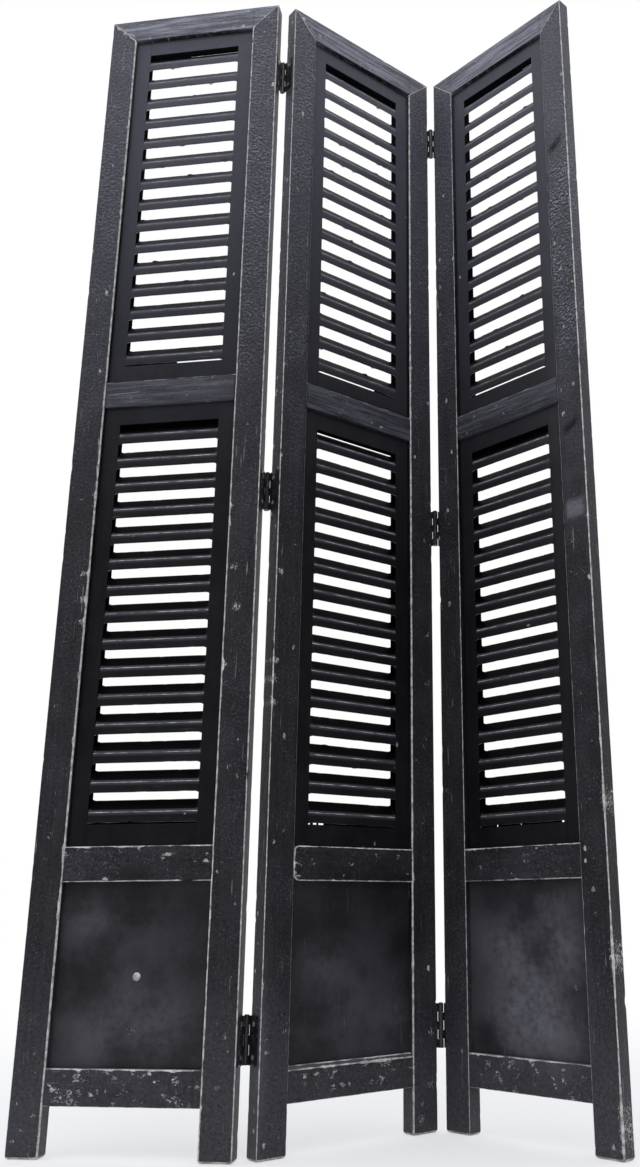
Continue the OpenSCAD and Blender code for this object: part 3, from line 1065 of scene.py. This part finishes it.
@dataclass(frozen=True)
class Leaf:
    """One leaf of the screen: two stiles, four rails, a solid panel and two louvred inserts."""

    name: LeafName
    placement: Placement
    marks: Sequence[Mark]
    wear: LeafWear
    seed: int
    sizes: LeafSizes = LeafSizes()

    @property
    def body(self) -> str:
        """Name the leaf's body, with which its nodes' names begin."""
        return f"{self.name.value}_leaf"

    def levels(self, part: str) -> tuple[float, float]:
        """Give the lowest and highest level of one of the leaf's solids."""
        low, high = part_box(f"{self.body}_{part}")
        return float(low[2]), float(high[2])

    def fit(self, part: str, slot: str, surfaces: Sequence[Surface], *paints: Material) -> None:
        """Make a piece in place of a solid, paint it and let it ride on the leaf.

        Args:
            part: The solid's name on the leaf.
            slot: The record's material slot; not used.
            surfaces: The piece's surfaces in the leaf's own frame.
            paints: The piece's finish, and the finish of its second coat where it has one.
        """
        node = f"{self.body}_{part}"
        shift = PATTERN_SHIFT * (1 + list(LeafName).index(self.name))
        piece = mesh_piece(f"{node}_board", surfaces, self.placement, self.marks, shift)
        for paint in paints:
            piece.data.materials.append(paint)
        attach(piece, self.body)
        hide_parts(node)
        LOG.info("%s: %d faces", piece.name, len(piece.data.polygons))

    def build_stiles(self, paint: Material) -> None:
        """Build both stiles: rounded uprights from the floor to the mitre, which falls across the stile."""
        sizes, fine = self.sizes, FINENESS["stile"]
        low, high = self.levels("top_rail")
        for index, side in enumerate(("left", "right")):
            rubbed = self.wear.left_stile if side == "left" else self.wear.right_stile
            inner = 0.0 if side == "left" else sizes.width - sizes.stile_w
            ring = rectangle((inner, 0.0), (inner + sizes.stile_w, sizes.thick), sizes.arris_r, fine.outline)
            across = (ring.points[:, 0] - inner) / sizes.stile_w
            fall = across if side == "left" else 1.0 - across
            stile = Bar(
                ring,
                Run.UP,
                0.0,
                high - (high - low) * fall,
                fine.rings,
                self.seed + index,
                rounds=(sizes.foot_r, sizes.mitre_r),
                worn_ends=(True, True),
                wear=EdgeWear(14.0, 0.0004, rubbed=rubbed),
            )
            self.fit(f"{side}_stile", "stiles", [stile.surface()], paint)

    def build_rails(self, paints: Paints) -> None:
        """Build the four rails between the stiles; the top one is mitred, so it is longer at its top."""
        sizes, fine = self.sizes, FINENESS["rail"]
        front, back = sizes.rail_back, sizes.thick - sizes.rail_back
        for index, name in enumerate(RailName):
            part, mitred, loose = f"{name.value}_rail", name is RailName.TOP, name is self.wear.loose_rail
            low, high = self.levels(part)
            ring, rubbed = rectangle((front, low), (back, high), sizes.arris_r, fine.outline), RAIL_RUB[name]
            if name is self.wear.chamfered_rail:
                deep, tall = sizes.chamfer
                shape = [(front, low), (back, low), (back, high), (front + deep, high), (front, high - tall)]
                ring = rounded_outline(shape, [sizes.arris_r] * len(shape), fine.outline)
                rubbed = (*rubbed, rubbed[-1])
            mitre = (high - ring.points[:, 1]) / (high - low) if mitred else 1.0
            rail = Bar(
                ring,
                Run.ACROSS,
                sizes.stile_w * mitre,
                sizes.width - sizes.stile_w * mitre,
                fine.rings,
                self.seed + RAIL_SEED + index,
                rounds=(sizes.loose_r if loose else sizes.end_r, sizes.end_r),
                worn_ends=(mitred or loose, mitred),
                wear=EdgeWear(20.0, rubbed=rubbed),
                start_corner=sizes.loose_end_r if loose else 0.0,
            )
            self.fit(part, "rails", [rail.surface()], paints.get(part, paints["rail"]))

    def build_panel(self, paint: Material) -> None:
        """Build the solid panel: a thin board whose edges stand in the grooves of its frame."""
        sizes, fine = self.sizes, FINENESS["panel"]
        low, high = self.levels("solid_panel")
        inset = sizes.stile_w + self.levels("lower_rail")[0] - high
        front, back = sizes.panel_back, sizes.panel_back + sizes.panel_t
        ring = rectangle((inset, front), (sizes.width - inset, back), sizes.end_r, fine.outline)
        panel = Bar(ring, Run.UP, low, high, fine.rings, self.seed + PANEL_SEED, wear=UNWORN)
        plugs = [plug(x, z, sizes.plug_r, front, sizes.plug_proud) for x, z in self.wear.plugs]
        self.fit("solid_panel", "panels", [panel.surface(), *plugs], paint)

    def beads(self, ring: Ring, stretches: Sequence[Stretch], seed: int) -> list[Surface]:
        """Make beads of paint that close a crack along some stretches of it."""
        step = FINENESS["bead"].rings
        return [
            Bar(ring, Run.ACROSS, *ends, step, seed + index, wear=PLAIN_WEAR, coat=Coat.WHOLE).surface()
            for index, ends in enumerate(stretches)
        ]

    def build_insert(self, level: Level, paints: Paints) -> None:
        """Build a louvred insert: jambs and borders round a stack of slanting slats.

        Args:
            level: Which insert.
            paints: The finishes by name.
        """
        sizes, name, seed = self.sizes, level.value, self.seed + INSERT_SEED[level]
        # The jambs and borders take painted shade as their second finish.
        timber, sharp = (paints["insert"], paints["painted_shade"]), self.sizes.sharp_r
        front, back = sizes.insert_back, sizes.insert_back + sizes.insert_t
        low, high = self.levels(f"{name}_jambs")
        slot = (sizes.stile_w + sizes.jamb_w, sizes.width - sizes.stile_w - sizes.jamb_w)
        fine, jambs = FINENESS["jamb"], []
        for index, (edge, coat) in enumerate(((sizes.stile_w, Coat.RIGHT_SIDE), (slot[1], Coat.LEFT_SIDE))):
            ring = rectangle((edge, front), (edge + sizes.jamb_w, back), sharp, fine.outline)
            jamb = Bar(ring, Run.UP, low, high, fine.rings, seed + index, wear=PLAIN_WEAR, coat=coat)
            jambs.append(jamb.surface())
        self.fit(f"{name}_jambs", "inserts", jambs, *timber)
        fine, borders = FINENESS["border"], []
        foot, head = low + sizes.border_h, high - sizes.border_h
        sole = rectangle((front, low), (back, foot), sharp, fine.outline)
        worn = sharp + self.wear.lifted_border.get(level, 0.0)
        brow = [(front, head), (back, head), (back, high), (front, high)]
        brow = rounded_outline(brow, [sharp, worn, sharp, sharp], fine.outline)
        rounds = (sizes.butt_r, sizes.butt_r)
        for index, (ring, coat) in enumerate(((sole, Coat.NONE), (brow, Coat.UNDERSIDE))):
            own_seed = seed + BORDER_SEED + index
            border = Bar(ring, Run.ACROSS, *slot, fine.rings, own_seed, rounds, wear=PLAIN_WEAR, coat=coat)
            borders.append(border.surface())
        spacing = FINENESS["bead"].outline
        corner = (front + sizes.seal_t, foot + sizes.crack_h)
        ring = rectangle((front + sharp, foot - sizes.seal_sunk), corner, sizes.seal_r, spacing)
        borders += self.beads(ring, self.wear.sealed.get(level, ()), seed + BEAD_SEED)
        corner = (back - sizes.seal_t, head - sizes.seal_hang)
        ring = rectangle(corner, (back, head + sizes.seal_sunk), sharp, spacing)
        borders += self.beads(ring, self.wear.sealed_above.get(level, ()), seed + UPPER_BEAD_SEED)
        self.fit(f"{name}_borders", "inserts", borders, *timber)
        slats = self.slats(level, slot, seed + SLAT_SEED)
        # The slats' slopes take painted shade as their second finish.
        self.fit(f"{name}_slats", "slats", slats, paints["slat"], paints["slope"])

    def slats(self, level: Level, slot: Stretch, seed: int) -> list[Surface]:
        """Make a stack of slats.

        A slat's outline is a leaning parallelogram with a round nose. The slats stand one even step apart.

        Args:
            level: Which insert.
            slot: Where the slats begin and end across the leaf.
            seed: Seed of the first slat's knocks.

        Returns:
            One closed surface for each slat.
        """
        sizes, fine = self.sizes, FINENESS["slat"]
        front, back = sizes.insert_back, sizes.insert_back + sizes.insert_t
        nose, tail = (front, sizes.slat_face), (back, sizes.slat_rise)
        corners = [(front, 0.0), tail, (back, sizes.slat_rise + sizes.slat_face), nose]
        radii = [sizes.slat_edge_r, sizes.slat_tail_r, sizes.slat_edge_r, sizes.slat_nose_r]
        outline = rounded_outline(corners, radii, fine.outline, SLAT_ARC_STEPS)
        floor, top = outline.points[:, 1].min(), outline.points[:, 1].max()
        low, high = self.levels(f"{level.value}_slats")
        crumbs, rubbed = self.wear.crumbs.get(level, 0.0), (0.3, 0.0, 0.2, NOSE_RUB[level])
        wear = EdgeWear(20.0, 0.0004, crumbs_per_metre=crumbs, rubbed=rubbed)
        stack = []
        for index, step in enumerate(np.linspace(low - floor, high - top, sizes.slats)):
            bar = Bar(
                replace(outline, points=outline.points + (0.0, step)),
                Run.ACROSS,
                *slot,
                fine.rings,
                seed + index,
                rounds=(sizes.butt_r, sizes.butt_r),
                wear=wear,
                flare=sizes.slot_corner_r,
                dust_and_highlight_corner=NOSE_CORNER,
                coat=Coat.SLOPE,
            )
            stack.append(bar.surface())
        return stack

    def build(self, paints: Paints) -> None:
        """Build every timber piece of the leaf."""
        self.build_stiles(paints["stile"])
        self.build_rails(paints)
        self.build_panel(paints["panel"])
        for level in Level:
            self.build_insert(level, paints)


class HingeSet:
    """The butt hinges and screws, which keep their solids and get their finish."""

    def dress(self, iron: Material, steel: Material) -> None:
        """Give iron to plates and pins, and steel to screws.

        Args:
            iron: Finish of the plates and pins.
            steel: Finish of the screws.
        """
        for name, node in frame["nodes"].items():
            if "hinge" not in name:
                continue
            node.data.materials.clear()
            node.data.materials.append(steel if name.endswith("screws") else iron)
            LOG.info("%s: dressed", name)


@dataclass(frozen=True)
class PhotoCamera:
    """The camera at the photograph's place, from a fit of the leaves' corners, in pixels of its own frame."""

    place: tuple[float, float, float] = (0.1341, -1.63034, 0.29924)
    yaw_deg: float = 0.1405
    pitch_deg: float = 17.7237
    roll_deg: float = -0.4203
    focal_px: float = 1098.68
    middle_px: tuple[float, float] = (421.23, 559.08)
    frame_px: tuple[float, float] = (640.0, 1167.0)
    sensor_mm: float = 36.0

    def build(self) -> None:
        """Make the camera: it looks ahead, rolled about that line, with a shift to its middle pixel."""
        yaw, pitch, roll = (math.radians(turn) for turn in (self.yaw_deg, self.pitch_deg, self.roll_deg))
        reach = math.cos(pitch)
        ahead = np.array([math.sin(yaw) * reach, math.cos(yaw) * reach, math.sin(pitch)])
        level = np.array([math.cos(yaw), -math.sin(yaw), 0.0])
        upright = np.cross(level, ahead)
        right = math.cos(roll) * level + math.sin(roll) * upright
        up = math.cos(roll) * upright - math.sin(roll) * level
        data = bpy.data.cameras.new("photo_camera")
        width, height = self.frame_px
        data.sensor_width = self.sensor_mm
        data.lens = self.focal_px / height * self.sensor_mm
        data.shift_x = (width / 2.0 - self.middle_px[0]) / height
        data.shift_y = (self.middle_px[1] - height / 2.0) / height
        camera = linked("photo_camera", data)
        camera.matrix_world = looking(self.place, right, up, ahead)
        bpy.context.scene.camera = camera


@dataclass(frozen=True)
class SoftBox:
    """A square soft lamp that is turned to the upper part of the screen."""

    name: str
    place: tuple[float, float, float]
    size: float
    watts: float
    target: tuple[float, float, float] = (0.0, 0.0, 1.1)

    def build(self, tint: Colour) -> None:
        """Make the lamp: it looks along the line from its place to its target."""
        data = bpy.data.lights.new(self.name, "AREA")
        data.size = self.size
        data.energy = self.watts
        data.color = tint[:3]
        ahead = np.array(self.target) - np.array(self.place)
        ahead /= np.linalg.norm(ahead)
        right = np.cross(ahead, [0.0, 0.0, 1.0])
        right /= np.linalg.norm(right)
        linked(self.name, data).matrix_world = looking(self.place, right, np.cross(right, ahead), ahead)


WHITE: Colour = (1.0, 1.0, 1.0, 1.0)
FLOOR_LINES = 9


@dataclass(frozen=True)
class Studio:
    """The plain stage: a pale floor, a sky that is bright overhead and dim in front, and two soft boxes."""

    floor_size: float = 14.0
    floor_drop: float = 0.0002
    floor_colour: Colour = (0.80, 0.80, 0.80, 1.0)
    floor_shade: Colour = (0.72, 0.72, 0.72, 1.0)
    sky_dim: float = 0.06
    sky_bright: float = 1.5
    sky_behind: float = 0.25
    sky_tint: Colour = (0.91, 0.93, 1.0, 1.0)
    boxes: Sequence[SoftBox] = (
        SoftBox("left_box", (-3.0, -1.1, 2.3), 2.2, 17.0),
        SoftBox("front_box", (0.1, -1.6, 2.8), 1.6, 9.0),
    )

    def build_floor(self) -> None:
        """Make the floor: a flat grid that shows the camera white far off and its own shade near the feet."""
        side = np.linspace(-self.floor_size, self.floor_size, FLOOR_LINES)
        x, y = np.meshgrid(side, side)
        points = np.stack([x.ravel(), y.ravel(), np.full(x.size, -self.floor_drop)], axis=-1)
        here = np.arange(x.size).reshape(x.shape)
        quads = np.stack([here[:-1, :-1], here[:-1, 1:], here[1:, 1:], here[1:, :-1]], axis=-1).reshape(-1, 4)
        mesh = bpy.data.meshes.new("studio_floor")
        mesh.from_pydata(points.tolist(), [], quads.tolist())
        floor = linked("studio_floor", mesh)
        material, graph = fresh_material("studio_floor")
        place = graph.add("ShaderNodeTexCoord").outputs["Object"]
        speckle = graph.noise(place, scale=3.0, detail=3.0)
        tint = graph.mix(graph.times(speckle, 0.06), self.floor_colour, self.floor_shade)
        matt = graph.add("ShaderNodeBsdfDiffuse", {"Color": tint})
        white = graph.add("ShaderNodeEmission", {"Color": WHITE, "Strength": 1.0})
        away = graph.add("ShaderNodeVectorMath", {0: place}, operation="LENGTH").outputs["Value"]
        path = graph.add("ShaderNodeLightPath").outputs
        mirrored = graph.most(path["Is Glossy Ray"], path["Is Transmission Ray"])
        seen = graph.most(path["Is Camera Ray"], mirrored)
        share = graph.times(graph.ease(away, 0.5, 2.2, (0.55, 1.0)), seen)
        both = graph.add("ShaderNodeMixShader", {0: share, 1: matt.outputs[0], 2: white.outputs[0]})
        graph.add("ShaderNodeOutputMaterial", {"Surface": both.outputs[0]})
        mesh.materials.append(material)

    def build_sky(self) -> None:
        """Make the sky: light that grows with height, dim in front, and white to the camera."""
        world = bpy.data.worlds.new("studio_sky")
        bpy.context.scene.world = world
        world.use_nodes = True
        graph = Graph(world.node_tree)
        graph.tree.nodes.clear()
        way = graph.add("ShaderNodeTexCoord").outputs["Generated"]
        part = graph.parts(way)
        high = graph.ease(part[2], 0.2, 0.85, (self.sky_dim, self.sky_bright))
        behind = graph.ease(part[1], -0.1, 0.5)
        level = graph.most(high, graph.times(behind, self.sky_behind))
        path = graph.add("ShaderNodeLightPath").outputs
        mirrored = graph.most(path["Is Glossy Ray"], path["Is Transmission Ray"])
        seen = graph.most(path["Is Camera Ray"], graph.times(mirrored, behind))
        glow = graph.add("ShaderNodeBackground", {"Color": self.sky_tint, "Strength": level})
        white = graph.add("ShaderNodeBackground", {"Color": WHITE, "Strength": 1.0})
        both = graph.add("ShaderNodeMixShader", {0: seen, 1: glow.outputs[0], 2: white.outputs[0]})
        graph.add("ShaderNodeOutputWorld", {"Surface": both.outputs[0]})

    def build(self) -> None:
        """Build the stage and set the plain view."""
        self.build_floor()
        self.build_sky()
        for box in self.boxes:
            box.build(self.sky_tint)
        bpy.context.scene.view_settings.view_transform = "Standard"


LEAF_TURNS_DEG = {LeafName.LEFT: -8.0, LeafName.CENTRE: 40.0, LeafName.RIGHT: -44.0}
PIN_CLEAR = 0.004

RAIL_RUB: dict[RailName, Corners] = {
    RailName.BOTTOM: (0.5, 0.5, 0.6, 1.4),
    RailName.LOWER: (1.2, 0.5, 0.5, 1.4),
    RailName.MID: (0.2, 0.4, 0.5, 0.9),
    RailName.TOP: (0.1, 0.5, 0.8, 0.9),
}
WHOLE_SLOT = (0.071, 0.229)
WEAR: dict[LeafName, LeafWear] = {
    LeafName.LEFT: LeafWear(
        left_stile=(0.4, 1.8, 0.5, 0.5),
        right_stile=(2.0, 1.1, 0.5, 0.5),
        crumbs={Level.UPPER: 1.2},
        sealed={Level.LOWER: [WHOLE_SLOT], Level.UPPER: [(0.071, 0.156)]},
        sealed_above={Level.LOWER: [WHOLE_SLOT], Level.UPPER: [(0.071, 0.140)]},
        plugs=[(0.157, 0.218)],
    ),
    LeafName.CENTRE: LeafWear(
        left_stile=(0.75, 0.6, 0.5, 0.7),
        right_stile=(1.6, 0.5, 0.5, 0.5),
        crumbs={Level.LOWER: 0.8, Level.UPPER: 5.0},
        sealed={
            Level.LOWER: [(0.0755, 0.080), (0.0865, 0.0895), (0.0985, 0.229)],
            Level.UPPER: [(0.184, 0.229)],
        },
        sealed_above={Level.UPPER: [WHOLE_SLOT]},
        lifted_border={Level.LOWER: 0.0036},
        loose_rail=RailName.LOWER,
        chamfered_rail=RailName.BOTTOM,
    ),
    LeafName.RIGHT: LeafWear(
        left_stile=(0.5, 0.5, 0.5, 0.5),
        right_stile=(1.0, 1.1, 0.9, 0.5),
        crumbs={Level.UPPER: 1.2},
        sealed={Level.LOWER: [(0.071, 0.102), (0.1045, 0.147), (0.1485, 0.221), (0.2255, 0.229)]},
        sealed_above={Level.LOWER: [WHOLE_SLOT], Level.UPPER: [(0.071, 0.200)]},
    ),
}


def marks(kind: MarkKind, strength: float, *spots: tuple[float, float, float]) -> list[Mark]:
    """Make marks of one kind and strength from places and sizes in millimetres."""
    return [Mark(kind, x / 1000.0, z / 1000.0, size / 1000.0, strength=strength) for x, z, size in spots]


def scattered(seed: int, count: int, low: Stretch, high: Stretch, strength: Stretch) -> list[Mark]:
    """Scatter small chips over a stretch of a leaf.

    Args:
        seed: Seed of the places, sizes and strengths.
        count: Number of chips.
        low: Lower left corner of the stretch, in millimetres.
        high: Its upper right corner.
        strength: Least and greatest strength.

    Returns:
        The chips' marks.
    """
    dice = np.random.default_rng(seed)
    places = dice.uniform(low, high, (count, 2)) / 1000.0
    sizes, strengths = dice.uniform(0.0035, 0.0085, count), dice.uniform(*strength, count)
    rows = zip(places.tolist(), sizes.tolist(), strengths.tolist())
    return [Mark(CHIP, x, z, size, strength=level) for (x, z), size, level in rows]


def knocks(seed: int, low_rail: int = 46) -> list[Mark]:
    """Scatter a leaf's common knocks: few on the stiles and the upper rails, many on the bottom rail."""
    return [
        *scattered(seed, 56, (3, 10), (42, 1780), (0.42, 0.8)),
        *scattered(seed + 1, 56, (258, 10), (297, 1780), (0.42, 0.8)),
        *scattered(seed + 2, low_rail, (46, 65), (254, 105), (0.7, 1.0)),
        *scattered(seed + 3, 12, (46, 342), (254, 384), (0.5, 0.85)),
        *scattered(seed + 4, 12, (46, 1052), (254, 1090), (0.4, 0.75)),
        *scattered(seed + 5, 30, (20, 1757), (280, 1797), (0.5, 0.85)),
    ]


def crack_shadows() -> list[Mark]:
    """Make the painted shade in the cracks round a leaf's inserts: thin dark boxes beside the stiles and
    under the top rail.
    """
    return [
        Mark(STAIN_AND_SHADE, 0.0445, 1.07, 0.0015, tall=460.0, strength=0.95, squareness=4.0),
        Mark(STAIN_AND_SHADE, 0.2555, 1.07, 0.0015, tall=460.0, strength=0.95, squareness=4.0),
        Mark(STAIN_AND_SHADE, 0.150, 1.7555, 0.105, tall=0.018, strength=0.95, squareness=6.0),
    ]


CHIP, BLOOM, STAIN_AND_SHADE, PEBBLE = MarkKind.CHIP, MarkKind.BLOOM, MarkKind.STAIN_AND_SHADE, MarkKind.PEBBLE
MARKS: dict[LeafName, list[Mark]] = {
    LeafName.LEFT: [
        *knocks(71),
        *crack_shadows(),
        Mark(PEBBLE, 0.279, 1.45, 0.0225, tall=16.0, strength=0.2, squareness=6.0),
        *marks(CHIP, 1.0, (222, 1763, 7), (236, 1762, 6), (228, 1776, 5), (282, 1777, 6), (288, 1768, 5)),
        *marks(
            CHIP, 1.0, (12, 1788, 8), (24, 1776, 9), (38, 1766, 8),
            (20, 1540, 6), (24, 1500, 5), (16, 1620, 5),
        ),
        *marks(CHIP, 0.8, (18, 34, 8), (34, 52, 6), (8, 22, 6)),
        Mark(BLOOM, 0.150, 1.071, 0.110, tall=0.2, strength=0.26, squareness=4.0),
        *marks(CHIP, 1.0, (275, 214, 4), (282, 146, 6), (288, 129, 4), (277, 88, 5)),
        *marks(
            CHIP, 0.55, (155, 150, 14), (150, 90, 12), (72, 89, 8),
            (100, 88, 9), (80, 71, 10), (118, 71, 8),
        ),
        *marks(
            CHIP, 0.6, (145, 72, 9), (180, 68, 9), (215, 74, 10),
            (248, 98, 6), (95, 350, 8), (27, 97, 5),
        ),
        *marks(
            CHIP, 0.7, (65, 383, 4), (126, 380, 6), (17, 397, 4),
            (43, 383, 6), (20, 1490, 5), (20, 1580, 7),
        ),
        *marks(
            CHIP, 0.6, (20, 1650, 10), (30, 1410, 14), (22, 900, 12),
            (24, 1180, 8), (272, 1100, 8), (38, 905, 6),
        ),
        *marks(
            CHIP, 1.0, (268, 779, 9), (274, 718, 10), (257, 633, 9),
            (36, 780, 8), (38, 740, 8), (38, 705, 7),
        ),
        *marks(BLOOM, 0.28, (85, 290, 28), (150, 170, 50), (100, 140, 30), (200, 150, 40)),
        *marks(STAIN_AND_SHADE, 0.8, (225, 310, 34), (150, 335, 26), (240, 230, 26)),
    ],
    LeafName.CENTRE: [
        *knocks(82, 28),
        *crack_shadows(),
        Mark(PEBBLE, 0.022, 1.45, 0.0225, tall=16.0, strength=0.12, squareness=6.0),
        Mark(BLOOM, 0.278, 1.60, 0.040, tall=8.0, strength=0.13),
        Mark(BLOOM, 0.002, 0.12, 0.009, tall=15.0, strength=0.4),
        *marks(
            CHIP, 0.8, (49, 377, 5), (47, 362, 5), (48, 348, 5),
            (75, 360, 5), (130, 348, 4), (188, 377, 5),
        ),
        *marks(
            CHIP, 0.6, (100, 101, 6), (163, 100, 6), (158, 76, 7),
            (54, 69, 7), (195, 70, 6), (215, 95, 6),
        ),
        *marks(CHIP, 1.0, (288, 132, 8), (288, 63, 8), (270, 20, 8), (272, 39, 6), (10, 126, 6)),
        *marks(
            CHIP, 0.5, (5, 130, 9), (5, 92, 12), (225, 205, 10),
            (240, 250, 6), (20, 40, 14), (25, 700, 12), (20, 860, 14),
        ),
        *marks(
            CHIP, 1.0, (7, 773, 9), (4, 640, 8), (3, 614, 9),
            (4, 580, 8), (285, 880, 6), (287, 640, 6), (290, 720, 5),
        ),
        *marks(BLOOM, 0.22, (150, 165, 50), (100, 230, 36), (220, 150, 30)),
        *marks(STAIN_AND_SHADE, 0.9, (120, 320, 50), (220, 325, 50), (240, 250, 26)),
    ],
    LeafName.RIGHT: [
        *knocks(93, 32),
        *crack_shadows(),
        Mark(PEBBLE, 0.279, 1.31, 0.0225, tall=8.5, strength=0.5, squareness=6.0),
        Mark(BLOOM, 0.278, 1.30, 0.040, tall=12.0, strength=0.26),
        Mark(BLOOM, 0.022, 1.62, 0.040, tall=7.0, strength=0.10),
        Mark(BLOOM, 0.278, 1.56, 0.040, tall=4.0, strength=0.08),
        *marks(
            CHIP, 0.7, (75, 358, 5), (108, 365, 5), (152, 350, 5),
            (180, 381, 5), (183, 355, 5), (275, 368, 6),
        ),
        *marks(CHIP, 0.6, (136, 91, 7), (170, 88, 6), (56, 65, 6), (110, 70, 6), (218, 64, 7), (56, 87, 6)),
        *marks(CHIP, 0.5, (226, 293, 5), (239, 284, 5), (252, 275, 5), (292, 40, 14)),
        Mark(CHIP, 0.298, 0.04, 0.006, tall=8.0, strength=0.9),
        Mark(CHIP, 0.298, 0.24, 0.006, tall=6.0, strength=0.9),
        Mark(CHIP, 0.298, 0.44, 0.006, tall=5.0, strength=0.9),
        Mark(BLOOM, 0.278, 0.868, 0.0165, tall=0.85, strength=0.95, squareness=10.0),
        # Painted shade in the gashes on the right stile.
        *marks(
            STAIN_AND_SHADE, 1.0, (268, 996, 6), (276, 1000, 6), (284, 1005, 6),
            (268, 1507, 7), (276, 1513, 7), (283, 1519, 6),
        ),
        *marks(BLOOM, 0.62, (160, 195, 50), (190, 142, 46)),
        *marks(BLOOM, 0.5, (120, 240, 34), (215, 240, 34), (120, 140, 36)),
        *marks(BLOOM, 0.4, (110, 150, 60), (200, 290, 40), (90, 260, 44)),
        *marks(STAIN_AND_SHADE, 0.6, (75, 130, 26), (165, 245, 12), (90, 315, 30)),
    ],
}


def leaf_placement(name: LeafName, sizes: LeafSizes) -> Placement:
    """Work out where a leaf stands from a hinge pin that it turns on.

    A pin stands one clearance outside the leaf's edge, behind it on the left joint and in front on the right.

    Args:
        name: The leaf.
        sizes: Its sizes.

    Returns:
        The leaf's turn and the place of its front left foot.
    """
    turn = math.radians(LEAF_TURNS_DEG[name])
    joint = "right_hinge" if name is LeafName.RIGHT else "left_hinge"
    pin = next(np.array(row["pos_m"]) for row in frame["joints"] if row["name"] == joint)
    behind, before = sizes.thick + PIN_CLEAR, -PIN_CLEAR
    local = {
        LeafName.LEFT: np.array([sizes.width + PIN_CLEAR, behind, 0.0]),
        LeafName.CENTRE: np.array([-PIN_CLEAR, behind, 0.0]),
        LeafName.RIGHT: np.array([-PIN_CLEAR, before, 0.0]),
    }[name]
    offset = Placement(turn, np.zeros(3)).apply(local[None])[0]
    return Placement(turn, np.array([pin[0], pin[1], 0.0]) - np.array([offset[0], offset[1], 0.0]))


def main() -> None:
    """Build the leaves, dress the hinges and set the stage."""
    logging.basicConfig(level=logging.INFO, format="%(message)s")
    effects = Effects()
    paints = {key: finish.material(effects) for key, finish in FINISHES.items()}
    sizes = LeafSizes()
    for index, name in enumerate(LeafName):
        leaf = Leaf(name, leaf_placement(name, sizes), MARKS[name], WEAR[name], 1000 * (index + 1), sizes)
        leaf.build(paints)
    HingeSet().dress(HINGE_IRON.material(effects), SCREW_STEEL_AND_HIGHLIGHT.material(effects))
    Studio().build()
    PhotoCamera().build()


if __name__ == "__main__":
    main()
